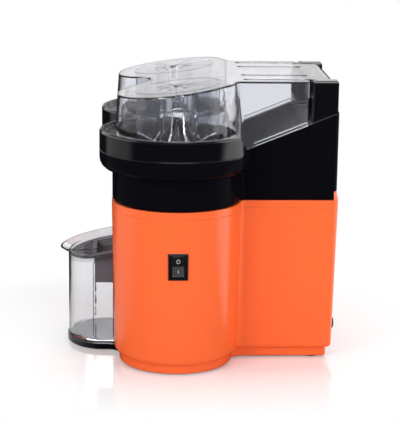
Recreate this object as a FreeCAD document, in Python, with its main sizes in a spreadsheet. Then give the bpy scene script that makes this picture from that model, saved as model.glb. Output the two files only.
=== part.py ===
import FreeCAD, Part
import Sketcher
import math
import os

from FreeCAD import Vector

# Double citrus juicer, millimetres. +Z is up, the cup stands at the front, towards -Y,
# the lid hinge is at the back, and the two pressing heads stand side by side along X.
# Shapes are laid out from a point on the table midway between the two shafts; each piece
# is then placed so that the origin is the middle of the whole footprint.

doc = FreeCAD.newDocument("citrus_juicer")
sheet = doc.addObject("Spreadsheet::Sheet", "Sizes")

SIZES = [
    # outline of the housing, seen from above
    ("head_x", "80", "shaft axis of each head from the middle"),
    ("body_radius", "73.5", "round front lobes at the seam"),
    ("valley_radius", "30", "hollow between the lobes, at the seam"),
    ("block_half", "89.5", "half width of the rear block"),
    ("block_rear", "184", "back face of the rear block"),
    ("block_corner", "9", "upright corners of the rear block"),
    ("side_fillet", "6", "inside corner between lobe and block"),
    ("wall", "2.5", "moulded wall"),
    ("fit_gap", "0.3", "clearance between pieces that lift off or move"),
    ("seat_gap", "0.05", "clearance between pieces fixed in each other"),
    ("run_gap", "0.06", "running clearance, radial"),
    # heights of the stack
    ("foot_height", "1.5", "rubber feet below the base"),
    ("foot_radius", "9", "rubber feet"),
    ("plinth_top", "13", "top of the stepped-in plinth"),
    ("plinth_inset", "8.7", "plinth inside the seam outline"),
    ("floor_opening", "18", "inset of the opening in the housing floor"),
    ("body_draft", "3", "inset of the housing at its lower edge"),
    ("body_edge", "4", "rounding of the lower edge"),
    ("seam_level", "180", "housing to trim ring"),
    ("band_top", "189", "top of the trim ring"),
    ("lip_top", "199", "upstand at the back of the trim ring"),
    ("lip_front", "178.1", "inner face of that upstand"),
    ("band_wall", "3.4", "trim ring wall"),
    ("collar_inset", "0.6", "upper housing inside the seam outline"),
    ("collar_edge", "3.5", "rounding of the collar's lower edge"),
    ("flare_low", "224.5", "where the collar starts to flare out"),
    ("flare_high", "238", "where the flare reaches the rim"),
    ("rim_level", "246", "top of the flared rim, under the bowl"),
    ("rim_spread", "14", "how far the rim stands out past the lobe"),
    ("rim_radius", "=body_radius + rim_spread", "outside of the rim and of the bowl"),
    ("bowl_top", "270", "top edge of the bowl"),
    ("bowl_edge", "2.5", "rounding of the bowl's top edge"),
    ("deck_level", "232", "floor of the upper housing under the bowl"),
    ("cut_low", "79", "rear end of the bowl at rim_level"),
    ("cut_high", "66.8", "rear end of the bowl at bowl_top"),
    ("deck_front", "247", "sloping deck where it starts, at cut_low"),
    ("deck_rise", "0.405", "rise of the deck per millimetre to the back"),
    ("upper_rear", "182", "back face of the upper housing"),
    # bowl
    ("shelf_level", "266", "shelf in the bowl that the lid stands on"),
    ("rim_wall", "5", "wall of the bowl's rim"),
    ("shelf_radius", "=rim_radius - rim_wall", "inside of the bowl's rim"),
    ("cavity_margin", "7.5", "juice cavity inside the lobe"),
    ("cavity_radius", "=body_radius - cavity_margin", "juice cavity round each reamer"),
    ("step_width", "4", "step that carries the pulp strainer"),
    ("floor_level", "235.3", "floor of the bowl"),
    ("hub_bore", "12", "tube in the bowl round the shaft, inside"),
    ("hub_top", "244.5", "top of that tube"),
    ("spout_y", "-41.5", "drain between the heads"),
    ("drain_radius", "3.9", "bore of the drain"),
    ("drain_wall", "1.3", "wall of the drain tube"),
    ("drain_low", "208", "lower end of the drain tube"),
    ("channel_half", "4.2", "half width of the channels to the drain"),
    ("channel_wall", "1.8", "walls of those channels"),
    ("nozzle_top", "223.5", "upper end of the nozzle"),
    ("nozzle_low", "176", "mouth of the nozzle"),
    ("nozzle_radius", "8", "outside of the nozzle"),
    ("nozzle_reach", "11", "how far the nozzle leans forward"),
    ("strainer_thick", "2", "pulp strainers"),
    ("strainer_inner", "31.6", "opening of the pulp strainers"),
    # drive
    ("module_out", "2.5", "gear module, last stage"),
    ("teeth_out", "46", "output gear"),
    ("teeth_mid", "20", "small wheel of the cluster gear"),
    ("module_in", "2", "gear module, first stage"),
    ("teeth_big", "48", "large wheel of the cluster gear"),
    ("teeth_motor", "14", "motor pinion"),
    ("backlash", "0.45", "play between teeth at the pitch circle"),
    ("plate_level", "150", "underside of the gear plate"),
    ("plate_thick", "4", "gear plate"),
    ("plate_inset", "5", "gear plate and cover inside the seam outline"),
    ("big_level", "157", "underside of the large wheel"),
    ("big_width", "8", "face width of the large wheel"),
    ("mid_width", "12", "face width of the small wheel"),
    ("out_level", "167", "underside of the output gears"),
    ("out_width", "9", "face width of the output gears"),
    ("cover_level", "178", "underside of the gear cover"),
    ("cover_thick", "3.5", "gear cover"),
    ("shaft_radius", "5", "reamer shafts"),
    ("shaft_top", "264", "upper end of the reamer shafts"),
    ("dog_low", "251", "where the shafts turn hexagonal"),
    ("bush_radius", "8", "outside of the bushes"),
    ("bush_length", "8", "length of the bushes"),
    ("hub_radius", "11.7", "upright tube of the upper housing round the shaft"),
    ("hub_high", "248.5", "top of that tube"),
    ("axle_radius", "4", "cluster gear axle and motor shaft"),
    ("motor_radius", "36", "motor case"),
    ("motor_low", "72", "underside of the motor case"),
    ("motor_bolts", "22", "motor screws from the motor axis"),
    ("post_radius", "3.8", "screw posts under the gear plate"),
    ("post_margin", "9.2", "screw posts inside the lobe"),
    ("post_reach", "=body_radius - post_margin", "screw posts from the shaft axis"),
    ("screw_radius", "1.5", "housing screws"),
    # reamer and presser
    ("reamer_radius", "27", "core of the reamer at its foot"),
    ("reamer_foot", "240.5", "underside of the reamer"),
    ("reamer_tip", "281", "point of the reamer"),
    ("rib_count", "10", "ribs round each reamer"),
    ("rib_thick", "3", "ribs of the reamer"),
    ("presser_radius", "49", "outer edge of the presser fins"),
    ("presser_hub", "20", "centre cup of the presser"),
    ("presser_low", "255", "lowest point of the fins"),
    ("hub_low", "286", "underside of the centre cup"),
    ("fin_count", "8", "fins of each presser"),
    ("fin_thick", "3.6", "fins of each presser"),
    # lid
    ("lid_wall", "2.5", "wall of the clear lid"),
    ("lid_inset", "4.5", "lobe of the lid inside the lobe of the housing"),
    ("lid_taper", "3.2", "how much narrower that lobe is at the roof"),
    ("lid_foot_radius", "=body_radius - lid_inset", "lobe of the lid at the shelf"),
    ("lid_head_radius", "=lid_foot_radius - lid_taper", "lobe of the lid at the roof"),
    ("ring_radius", "47.5", "raised ring on each head of the lid"),
    ("ring_width", "1.4", "that ring, and the short rays inside it"),
    ("ring_high", "0.5", "that ring, above the roof"),
    ("ray_count", "8", "rays on each head"),
    ("ray_inner", "11", "where the rays start, from the shaft axis"),
    ("ray_outer", "24", "where the rays end"),
    ("lid_half", "86.4", "half width of the lid's arm"),
    ("lid_rise", "54", "level top of the arm above the bowl"),
    ("lid_top", "=bowl_top + lid_rise", "level top of the arm"),
    ("lid_slope", "0.128", "fall of the lobes per millimetre to the front"),
    ("slope_end", "50", "where the sloping roof meets the level arm"),
    ("arm_end", "147", "where the arm narrows between the hinge blocks"),
    ("arm_corner", "3", "upright rear corners of the arm"),
    ("flange_half", "89.2", "side flanges of the arm on the deck"),
    ("flange_high", "4.5", "height of those flanges"),
    # hinge
    ("hinge_y", "169", "hinge axis"),
    ("hinge_drop", "10.5", "hinge axis below the top of the arm"),
    ("hinge_z", "=lid_top - hinge_drop", "hinge axis"),
    ("pin_radius", "3", "hinge pins"),
    ("pin_end", "82", "outer end of the hinge pins"),
    ("knuckle_inner", "52", "inner face of the lid's knuckles"),
    ("ear_front", "152", "front face of the hinge blocks"),
    ("ear_rear", "180", "back face of the hinge blocks"),
    ("ear_inner", "67.2", "inner face of the hinge blocks"),
    ("ear_width", "19.3", "width of the hinge blocks"),
    ("ear_over", "11.5", "hinge blocks above the hinge axis"),
    ("ear_top", "=hinge_z + ear_over", "top of the hinge blocks"),
    ("ear_edge", "3", "rounding of the hinge blocks"),
    ("ear_side_gap", "0.7", "hinge blocks to the lid's knuckles"),
    # switch on the right-hand lobe
    ("switch_level", "128", "height of the switch"),
    ("bezel_width", "22", "switch frame, across"),
    ("bezel_height", "30", "switch frame, up and down"),
    ("bezel_thick", "2", "switch frame, proud of its flat"),
    ("bezel_border", "4.2", "switch frame beside the rocker"),
    ("bezel_end", "2.5", "switch frame above and below the rocker"),
    ("bezel_step", "1.3", "switch case inside its frame"),
    ("switch_flat", "0.9", "depth of the flat in the round wall"),
    ("switch_depth", "22", "switch body behind the flat"),
    ("rocker_tilt", "9", "tilt at rest from the middle position"),
    ("rocker_pivot", "4", "pivot behind the flat"),
    ("rocker_proud", "4.4", "ends of the rocker in front of the flat, untilted"),
    # cup and tray
    ("tray_half", "52.8", "half width of the cup tray"),
    ("tray_front", "127.5", "front of the tray"),
    ("tray_low", "0.5", "underside of the tray"),
    ("tray_top", "7.2", "top of the tray"),
    ("tray_fillet", "15", "hollow between tray and plinth"),
    ("front_centre", "83.5", "where the rounded fronts of cup and tray begin"),
    ("cup_half", "44.5", "half width of the cup at its foot"),
    ("cup_front", "126", "front of the cup"),
    ("cup_wall", "2", "wall of the cup"),
    ("cup_grow", "1.6", "how much wider the cup is under its rim"),
    ("cup_corner", "10", "upright corners at the back of the cup"),
    ("cup_gap", "3.5", "cup to housing"),
    ("rim_front", "114.8", "height of the cup's rim above its front wall"),
    ("rim_slope", "0.195", "rise of the rim per millimetre to the back"),
    ("rim_drop", "7", "height of the turned-out rim"),
    ("rim_reach", "9.5", "pouring lip beyond the front wall"),
    ("rim_grow", "2.8", "how much wider the cup is at the edge of its rim"),
    ("basket_drop", "9.5", "cup strainer below the rim"),
    ("basket_thick", "1.6", "cup strainer"),
    ("basket_skirt", "4", "skirt of the cup strainer"),
    ("skirt_inset", "4", "skirt inside the strainer's edge"),
    ("well_half", "30", "half width of the strainer's deep part"),
    ("well_front", "94", "front of the strainer's deep part"),
    ("well_low", "76", "underside of the strainer's deep part"),
    # cord inlet
    ("gland_x", "55", "cord inlet in the back wall"),
    ("gland_z", "34", "cord inlet in the back wall"),
    ("gland_radius", "6.4", "bush in that inlet"),
    ("gland_bore", "3.3", "bore of that bush"),
    # worked out from the sizes above
    ("mid_y", "=sqrt((module_out * (teeth_out + teeth_mid) / 2)^2 - head_x^2)", "cluster gear axis"),
    ("motor_y", "=mid_y + module_in * (teeth_big + teeth_motor) / 2", "motor axis"),
    ("deck_at_ear", "=deck_front + deck_rise * (ear_front - cut_low)", "deck at the hinge blocks, front"),
    ("deck_at_back", "=deck_front + deck_rise * (ear_rear - cut_low)", "deck at the hinge blocks, back"),
    ("bush_low", "=plate_level + plate_thick - bush_length", "underside of the lower bushes"),
    ("hub_floor", "=deck_level - wall", "underside of the upper housing's floor"),
    ("bush_high", "=hub_floor + bush_length", "top of the upper bushes"),
    ("seal_low", "=bush_high + 2", "underside of the shaft seals"),
    ("seal_high", "=seal_low + 4", "top of the shaft seals"),
    ("cover_top", "=cover_level + cover_thick", "top of the gear cover"),
    ("shaft_bore", "=shaft_radius + run_gap", "bore of bushes and seals"),
    ("bush_seat", "=bush_radius - seat_gap", "outside of bushes and seals as made"),
    ("screw_bore", "=screw_radius + seat_gap", "holes for the housing screws"),
    ("gland_back", "=block_rear - body_draft * 0.87", "back wall at the cord inlet"),
    ("gland_end", "=gland_back + 5", "outer end of the cord bush"),
    ("centre_y", "=(gland_end - cup_front - rim_reach) / 2", "middle of the footprint, front to back"),
]

for row, (alias, text, note) in enumerate(SIZES, start=1):
    sheet.set(f"A{row}", alias)
    sheet.set(f"B{row}", text)
    sheet.set(f"C{row}", note)
    sheet.setAlias(f"B{row}", alias)
doc.recompute()

FAR = 400.0
NODES = []


def size(alias):
    """Number held by a named cell."""
    return float(sheet.get(alias))


def put(piece, axis, formula):
    """Position along one axis, bound to the sheet."""
    piece.setExpression(f"Placement.Base.{axis}", formula)


def feature(name, shape):
    """Piece whose shape is worked out from the sheet."""
    thing = doc.addObject("Part::Feature", name)
    thing.Label = name
    thing.Shape = shape
    put(thing, "y", "-Sizes.centre_y")
    NODES.append(thing)
    return thing


def group(name, solids):
    """Equal loose pieces of one kind, kept together."""
    return feature(name, Part.makeCompound(solids))


# Sketched pieces. A corner is a pair of entries, and an entry is the name of a cell,
# a (name, factor) pair or zero, so that every corner stays tied to the sheet.


def number(entry):
    if isinstance(entry, str):
        return size(entry)
    if isinstance(entry, tuple):
        return size(entry[0]) * entry[1]
    return float(entry)


def hold(sketch, kind, index, entry):
    """Distance of a corner from the sketch origin, bound to its cell."""
    spot = sketch.addConstraint(Sketcher.Constraint(kind, -1, 1, index, 1, number(entry)))
    if isinstance(entry, str):
        sketch.setExpression(f"Constraints[{spot}]", f"Sizes.{entry}")
    if isinstance(entry, tuple):
        sketch.setExpression(f"Constraints[{spot}]", f"Sizes.{entry[0]} * ({entry[1]})")


def origin_item(body, role):
    return [item for item in body.Origin.OriginFeatures if item.Role == role][0]


def sketch_on(body, name, role):
    sketch = body.newObject("Sketcher::SketchObject", name)
    sketch.AttachmentSupport = [(origin_item(body, role), "")]
    sketch.MapMode = "FlatFace"
    return sketch


def outline(sketch, corners):
    """Closed outline of straight lines through the corners."""
    count = len(corners)
    points = [Vector(number(across), number(along), 0) for across, along in corners]
    for index in range(count):
        sketch.addGeometry(Part.LineSegment(points[index], points[(index + 1) % count]), False)
    for index in range(count):
        follower = (index + 1) % count
        sketch.addConstraint(Sketcher.Constraint("Coincident", index, 2, follower, 1))
    for index, (across, along) in enumerate(corners):
        hold(sketch, "DistanceX", index, across)
        hold(sketch, "DistanceY", index, along)


def hexagon(sketch, formula, radius):
    """Regular hexagon about the sketch origin, sized by its corner radius."""
    angles = [math.radians(60 * index) for index in range(6)]
    points = [Vector(radius * math.cos(angle), radius * math.sin(angle), 0) for angle in angles]
    for index in range(6):
        sketch.addGeometry(Part.LineSegment(points[index], points[(index + 1) % 6]), False)
    for index in range(6):
        sketch.addConstraint(Sketcher.Constraint("Coincident", index, 2, (index + 1) % 6, 1))
    for index, angle in enumerate(angles):
        for kind, share in (("DistanceX", math.cos(angle)), ("DistanceY", math.sin(angle))):
            spot = sketch.addConstraint(Sketcher.Constraint(kind, -1, 1, index, 1, radius * share))
            sketch.setExpression(f"Constraints[{spot}]", f"({formula}) * ({share:.9f})")


def new_body(name):
    body = doc.addObject("PartDesign::Body", name)
    body.Label = name
    put(body, "y", "-Sizes.centre_y")
    NODES.append(body)
    return body


def turned(name, corners):
    """Body of revolution about its upright axis, from (radius, height) corners."""
    body = new_body(name)
    sketch = sketch_on(body, name + "_profile", "XZ_Plane")
    outline(sketch, corners)
    turn = body.newObject("PartDesign::Revolution", name + "_turn")
    turn.Profile = sketch
    turn.ReferenceAxis = (sketch, ["V_Axis"])
    turn.Angle = 360
    doc.recompute()
    return body


# Outlines seen from above. Arcs keep their centres when an outline is offset, so a wall
# that follows them has one thickness all the way round.


def arc(start, middle, end):
    return Part.Arc(Vector(*start), Vector(*middle), Vector(*end)).toShape()


def line(start, end):
    return Part.LineSegment(Vector(*start), Vector(*end)).toShape()


def on_circle(centre, radius, angle, level):
    return (centre[0] + radius * math.cos(angle), centre[1] + radius * math.sin(angle), level)


def mirrored_wire(half):
    """Closed wire from the edges of its right half, which starts and ends on X = 0."""
    other = [edge.mirror(Vector(0, 0, 0), Vector(1, 0, 0)) for edge in reversed(half)]
    return Part.Wire(half + other)


def valley_y():
    """Centre of the hollow between the lobes."""
    reach = size("body_radius") + size("valley_radius")
    return -math.sqrt(reach ** 2 - size("head_x") ** 2)


def plan(inset, level, radius=None, half=None, rear=None, corner=None):
    """Housing outline: two round lobes in front and a block behind, offset inwards."""
    radius = size("body_radius") if radius is None else radius
    half = size("block_half") if half is None else half
    rear = size("block_rear") if rear is None else rear
    corner = size("block_corner") if corner is None else corner
    head = (size("head_x"), 0.0)
    valley = (0.0, valley_y())
    fillet = size("side_fillet")
    lobe = radius - inset
    hollow = math.hypot(head[0], valley[1]) - lobe
    toward = math.atan2(valley[1], -head[0])
    up = toward + math.pi
    first = on_circle(head, lobe, toward, level)
    between = on_circle(valley, hollow, (up + math.pi / 2) / 2, level)
    knee = (half + fillet, math.sqrt((radius + fillet) ** 2 - (half + fillet - head[0]) ** 2))
    away = math.atan2(knee[1], knee[0] - head[0])
    last = on_circle(head, lobe, away, level)
    middle = on_circle(head, lobe, (toward + away) / 2, level)
    side = (half - inset, knee[1], level)
    bend = on_circle(knee, fillet + inset, (away + 2 * math.pi) / 2, level)
    pivot = (half - corner, rear - corner)
    before = (half - inset, pivot[1], level)
    after = (pivot[0], rear - inset, level)
    turn = on_circle(pivot, corner - inset, math.pi / 4, level)
    edges = [
        arc((0.0, valley[1] + hollow, level), between, first),
        arc(first, middle, last),
        arc(last, bend, side),
        line(side, before),
        arc(before, turn, after),
        line(after, (0.0, rear - inset, level)),
    ]
    return mirrored_wire(edges)


def lobes(radius, level, cut):
    """Rim outline: two lobes of the given radius, closed by a straight back at y = cut."""
    head = (size("head_x"), 0.0)
    valley = (0.0, valley_y())
    hollow = math.hypot(head[0], valley[1]) - radius
    toward = math.atan2(valley[1], -head[0])
    up = toward + math.pi
    away = math.asin(cut / radius)
    first = on_circle(head, radius, toward, level)
    between = on_circle(valley, hollow, (up + math.pi / 2) / 2, level)
    middle = on_circle(head, radius, (toward + away) / 2, level)
    last = on_circle(head, radius, away, level)
    edges = [
        arc((0.0, valley[1] + hollow, level), between, first),
        arc(first, middle, last),
        line(last, (0.0, cut, level)),
    ]
    return mirrored_wire(edges)


def loft(wires):
    return Part.makeLoft(wires, True, True)


def cylinder(radius, low, high, x=0.0, y=0.0):
    return Part.makeCylinder(radius, high - low, Vector(x, y, low))


def tube(outer, inner, low, high, x=0.0, y=0.0):
    return cylinder(outer, low, high, x, y).cut(cylinder(inner, low - 1, high + 1, x, y))


def box(x_low, x_high, y_low, y_high, z_low, z_high):
    return Part.makeBox(x_high - x_low, y_high - y_low, z_high - z_low, Vector(x_low, y_low, z_low))


def closed_face(points):
    return Part.Face(Part.makePolygon(points + points[:1]))


def revolved(points, x=0.0, y=0.0):
    """Solid of revolution from (radius, height) points."""
    face = closed_face([Vector(radius, 0, level) for radius, level in points])
    solid = face.revolve(Vector(0, 0, 0), Vector(0, 0, 1), 360)
    solid.translate(Vector(x, y, 0))
    return solid


def across(points, half):
    """Prism across the machine from a closed (y, z) outline."""
    face = closed_face([Vector(-half, y, z) for y, z in points])
    return face.extrude(Vector(2 * half, 0, 0))


def both(make):
    """The same thing at the right-hand and the left-hand head."""
    return [make(size("head_x")), make(-size("head_x"))]


def round_about(shape, count, start=0.0):
    """Copies of a shape turned about the upright axis through the origin."""
    copies = []
    for index in range(count):
        copy = shape.copy()
        copy.rotate(Vector(0, 0, 0), Vector(0, 0, 1), start + 360 / count * index)
        copies.append(copy)
    return copies


def screw(radius, length, x, y, z, up=False):
    """Pan-head screw, its head resting at z and its shank pointing down, or up."""
    head = cylinder(1.85 * radius, 0, 1.1 * radius)
    solid = head.fuse(cylinder(radius, -length, 0)).removeSplitter()
    if up:
        solid.rotate(Vector(0, 0, 0), Vector(1, 0, 0), 180)
    solid.translate(Vector(x, y, z))
    return solid


def draft_at(level):
    """Inset of the lower housing's outside at a height."""
    share = (size("seam_level") - level) / (size("seam_level") - size("plinth_top"))
    return size("body_draft") * share


def deck_height(y):
    """Height of the sloping deck behind the bowl."""
    return size("deck_front") + size("deck_rise") * (y - size("cut_low"))


def cut_at(level):
    """Rear end of the bowl, which leans forward as it rises."""
    span = size("bowl_top") - size("rim_level")
    lean = size("cut_high") - size("cut_low")
    return size("cut_low") + lean * (level - size("rim_level")) / span


def roof_at(y):
    """Outside of the lid's roof."""
    return size("lid_top") - size("lid_slope") * max(0.0, size("slope_end") - y)


def post_places():
    """Screw posts under the gear plate."""
    reach = size("post_reach") * math.sqrt(0.5)
    rear = (size("block_half") - 12.5, size("block_rear") - 13)
    spots = [(size("head_x") + reach, -reach), (size("head_x") + reach, reach), rear]
    return [(side * x, y) for side in (1, -1) for x, y in spots]


def base_screw_places():
    """Short posts that hold the base plate."""
    reach = size("body_radius") - size("plinth_inset") - 7.6
    front = on_circle((size("head_x"), 0), reach, math.radians(-75), 0)
    side = on_circle((size("head_x"), 0), reach, math.radians(20), 0)
    rear = (35.0, size("block_rear") - 16)
    return [(sign * spot[0], spot[1]) for sign in (1, -1) for spot in (front, side, rear)]


def foot_places():
    rear = (size("block_half") - 19.5, size("block_rear") - 26)
    return [(side * x, y) for side in (1, -1) for x, y in ((size("head_x"), -45.0), rear)]


def motor_screw_places():
    centre = (0.0, size("motor_y"))
    spots = [on_circle(centre, size("motor_bolts"), math.radians(45 + 90 * index), 0) for index in range(4)]
    return [spot[:2] for spot in spots]


def switch_face():
    """X of the flat that the switch frame sits on."""
    outer = size("head_x") + size("body_radius") - draft_at(size("switch_level"))
    return outer - size("switch_flat")


def lower_housing():
    base = size("plinth_top")
    seam = size("seam_level")
    edge = size("body_edge")
    wall = size("wall")
    draft = size("body_draft")
    outside = loft([
        plan(draft + edge * 0.75, base),
        plan(draft + edge * 0.3, base + edge * 0.3),
        plan(draft_at(base + edge), base + edge),
        plan(0.0, seam),
    ])
    low = base + wall
    inside = loft([plan(draft_at(low) + wall, low), plan(wall, seam + 1)])
    opening = size("floor_opening")
    mouth = loft([plan(opening, level, corner=opening + 4) for level in (base - 1, low + 1)])
    shell = outside.cut([inside, mouth])
    posts = [cylinder(size("post_radius"), low, size("plate_level"), *spot) for spot in post_places()]
    posts += [cylinder(4, low, low + 12, *spot) for spot in base_screw_places()]
    shell = shell.fuse(posts)
    bore = size("screw_bore")
    top = size("plate_level")
    holes = [cylinder(bore, top - 14, top + 1, *spot) for spot in post_places()]
    holes += [cylinder(bore, base - 1, low + 10, *spot) for spot in base_screw_places()]
    # flat and hole for the switch
    face = switch_face()
    level = size("switch_level")
    wide = size("bezel_width") / 2 + size("fit_gap")
    tall = size("bezel_height") / 2 + size("fit_gap")
    holes.append(box(face, face + 20, -wide, wide, level - tall, level + tall))
    step = size("bezel_step") + size("fit_gap")
    wide -= step
    tall -= step
    holes.append(box(face - 20, face + 20, -wide, wide, level - tall, level + tall))
    # hole for the cord bush
    start = Vector(size("gland_x"), size("block_rear") - 14, size("gland_z"))
    holes.append(Part.makeCylinder(size("gland_radius") + size("seat_gap"), 20, start, Vector(0, 1, 0)))
    return shell.cut(holes)


def base_plate():
    inset = size("plinth_inset")
    low = size("foot_height")
    top = size("plinth_top")
    wall = size("wall")
    corner = inset + 5
    solid = loft([
        plan(inset + 1, low, corner=corner),
        plan(inset, low + 1, corner=corner),
        plan(inset, top, corner=corner),
    ])
    pocket = loft([plan(inset + wall, level, corner=corner) for level in (low + wall, top + 1)])
    solid = solid.cut(pocket).fuse([cylinder(4.5, low, top, *spot) for spot in base_screw_places()])
    holes = []
    for spot in base_screw_places():
        holes.append(cylinder(size("screw_bore"), low - 1, top + 1, *spot))
        holes.append(cylinder(2 * size("screw_radius"), low - 1, low + 4, *spot))
    return solid.cut(holes)


def trim_ring():
    seam = size("seam_level")
    top = size("band_top")
    wall = size("band_wall")
    ring = loft([plan(0.4, seam), plan(0, seam + 0.5), plan(0, top)])
    ring = ring.cut(loft([plan(wall, seam - 1), plan(wall, top + 1)]))
    upstand = loft([plan(0.2, top), plan(2.3, size("lip_top"))])
    keep = box(-FAR, FAR, size("lip_front"), FAR, top, size("lip_top"))
    return ring.fuse(upstand.common(keep)).removeSplitter()


def flare_profile():
    """Underside of the flare as (radius, height): a quarter of an ellipse."""
    start = size("body_radius") - size("collar_inset")
    out = size("rim_radius") - start
    rise = size("flare_high") - size("flare_low")
    angles = [math.radians(degrees) for degrees in (0, 18, 36, 54, 72, 90)]
    return [(start + out * math.sin(a), size("flare_high") - rise * math.cos(a)) for a in angles]


def drain_path(half, low, high):
    """Upright slabs from both heads to the drain, of the given half width."""
    x = size("head_x")
    y = size("spout_y")
    slabs = []
    for side in (1, -1):
        slab = box(0, math.hypot(x, y), -half, half, low, high)
        slab.rotate(Vector(0, 0, 0), Vector(0, 0, 1), math.degrees(math.atan2(-y, side * x)))
        slab.translate(Vector(0, y, 0))
        slabs.append(slab)
    return slabs + [cylinder(half, low, high, 0, y)]


def upper_housing():
    inset = size("collar_inset")
    wall = size("wall")
    gap = size("fit_gap")
    skirt = size("band_wall") + gap
    seam = size("seam_level")
    band = size("band_top")
    rim = size("rim_level")
    edge = size("collar_edge")
    back = size("upper_rear") + inset
    head = size("head_x")
    cut = size("cut_low")
    deck = size("deck_level")
    high = deck_height(FAR)
    spigot = loft([plan(skirt, level) for level in (size("cover_top") + 1, band + 1.5)])
    collar = loft([
        plan(inset + edge * 0.7, band + gap, rear=back),
        plan(inset + edge * 0.25, band + edge * 0.4, rear=back),
        plan(inset, band + edge, rear=back),
        plan(inset, high, rear=back),
    ])
    roof = across([
        (-FAR, rim), (cut, rim), (cut, size("deck_front")), (FAR, high), (FAR, 3 * FAR), (-FAR, 3 * FAR),
    ], FAR)
    collar = collar.cut(roof)
    # flared rim, in front as a loft and at the back as a turned shape
    rim_points = flare_profile() + [(size("rim_radius"), rim)]
    split = 55.0
    front = loft([lobes(radius, level, split) for radius, level in rim_points])
    behind = box(-FAR, FAR, split, cut, 0, FAR)
    profile = [(0, size("flare_low"))] + rim_points + [(0, rim)]
    rims = both(lambda x: revolved(profile, x).common(behind))
    middle = box(-head, head, split, cut, size("flare_low"), rim)
    body = collar.fuse([front, spigot, middle] + rims)
    # inside
    inner = size("lip_front") - gap - wall
    lower = loft([plan(skirt + wall, level, rear=inner + skirt + wall) for level in (seam, band + 1)])
    upper = loft([plan(inset + wall, level, rear=inner + inset + wall) for level in (band + 1, high)])
    ceiling = across([
        (-FAR, size("hub_floor")), (cut - 5, size("hub_floor")),
        (cut, deck_height(cut) - 1.08 * wall), (FAR, high - 1.08 * wall), (FAR, 3 * FAR), (-FAR, 3 * FAR),
    ], FAR)
    body = body.cut([lower, upper.cut(ceiling)])
    # room for the trim ring's upstand, for the bowl and for the drain
    room = [box(-FAR, FAR, size("lip_front") - gap, FAR, seam, size("lip_top") + gap)]
    room += both(lambda x: cylinder(size("cavity_radius") + wall + gap, deck, rim + 5, x))
    room += drain_path(size("channel_half") + size("channel_wall") + gap, deck, rim + 5)
    drain = size("drain_radius") + size("drain_wall") + gap
    room.append(cylinder(drain, seam, rim, 0, size("spout_y")))
    body = body.cut(room)
    hubs = both(lambda x: cylinder(size("hub_radius"), size("hub_floor"), size("hub_high"), x))
    bores = both(lambda x: cylinder(size("bush_radius"), seam, rim + 9, x))
    return body.fuse(hubs).cut(bores)


def juice_bowl():
    wall = size("wall")
    rim = size("rim_level")
    top = size("bowl_top")
    edge = size("bowl_edge")
    radius = size("rim_radius")
    shelf = size("shelf_level")
    under = size("deck_level") + size("fit_gap")
    floor = size("floor_level")
    cavity = size("cavity_radius")
    half = size("channel_half")
    ring = loft([
        lobes(radius - 1.2, rim, cut_at(rim)),
        lobes(radius - 1.2, rim + 1, cut_at(rim + 1)),
        lobes(radius, rim + 1.8, cut_at(rim + 1.8)),
        lobes(radius, top - edge, cut_at(top - edge)),
        lobes(radius - edge * 0.3, top - edge * 0.3, cut_at(top - edge * 0.3)),
        lobes(radius - edge, top, cut_at(top)),
    ])
    under_ring = loft([
        lobes(radius - 2 * wall, rim - 1, cut_at(rim) - wall),
        lobes(radius - 2 * wall, shelf - wall, cut_at(shelf) - wall),
    ])
    tubs = both(lambda x: cylinder(cavity + wall, under, shelf, x))
    paths = drain_path(half + size("channel_wall"), under, shelf)
    body = ring.cut(under_ring).fuse(tubs + paths)
    room = [loft([lobes(size("shelf_radius"), level, cut_at(rim) - 1) for level in (shelf, top + 1)])]
    room += both(lambda x: cylinder(cavity, rim, top + 1, x))
    room += both(lambda x: cylinder(cavity - size("step_width"), floor, top + 1, x))
    room += drain_path(half, floor, top + 1)
    body = body.cut(room)
    drain = size("drain_radius")
    y = size("spout_y")
    hubs = both(lambda x: cylinder(size("hub_bore") + 2, floor - 1, size("hub_top"), x))
    spout = cylinder(drain + size("drain_wall"), size("drain_low"), floor, 0, y)
    bores = both(lambda x: cylinder(size("hub_bore"), under - 1, shelf, x))
    bores.append(cylinder(drain, size("drain_low") - 1, top, 0, y))
    return body.fuse(hubs + [spout]).cut(bores)


def juice_spout():
    """Nozzle below the bowl's drain, shaped to the collar behind it and leaning forward."""
    y = size("spout_y")
    radius = size("nozzle_radius")
    bore = size("drain_radius") + size("drain_wall") + size("fit_gap")
    low = size("nozzle_low")
    top = size("nozzle_top")
    knee = size("drain_low") - 3
    reach = size("nozzle_reach")

    def ring(ring_radius, level, lean):
        circle = Part.Circle(Vector(0, y - lean, level), Vector(0, 0, 1), ring_radius)
        return Part.Wire(circle.toShape())

    body = loft([ring(radius, top, 0), ring(radius, knee, 0), ring(radius - 1.5, low, reach)])
    inside = loft([ring(bore, top + 1, 0), ring(bore, knee, 0), ring(radius - 3, low - 0.5, reach)])
    clear = size("collar_inset") - size("fit_gap")
    housing = loft([plan(clear, low - 20), plan(clear, top + 20)])
    return body.cut([inside, housing])


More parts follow.
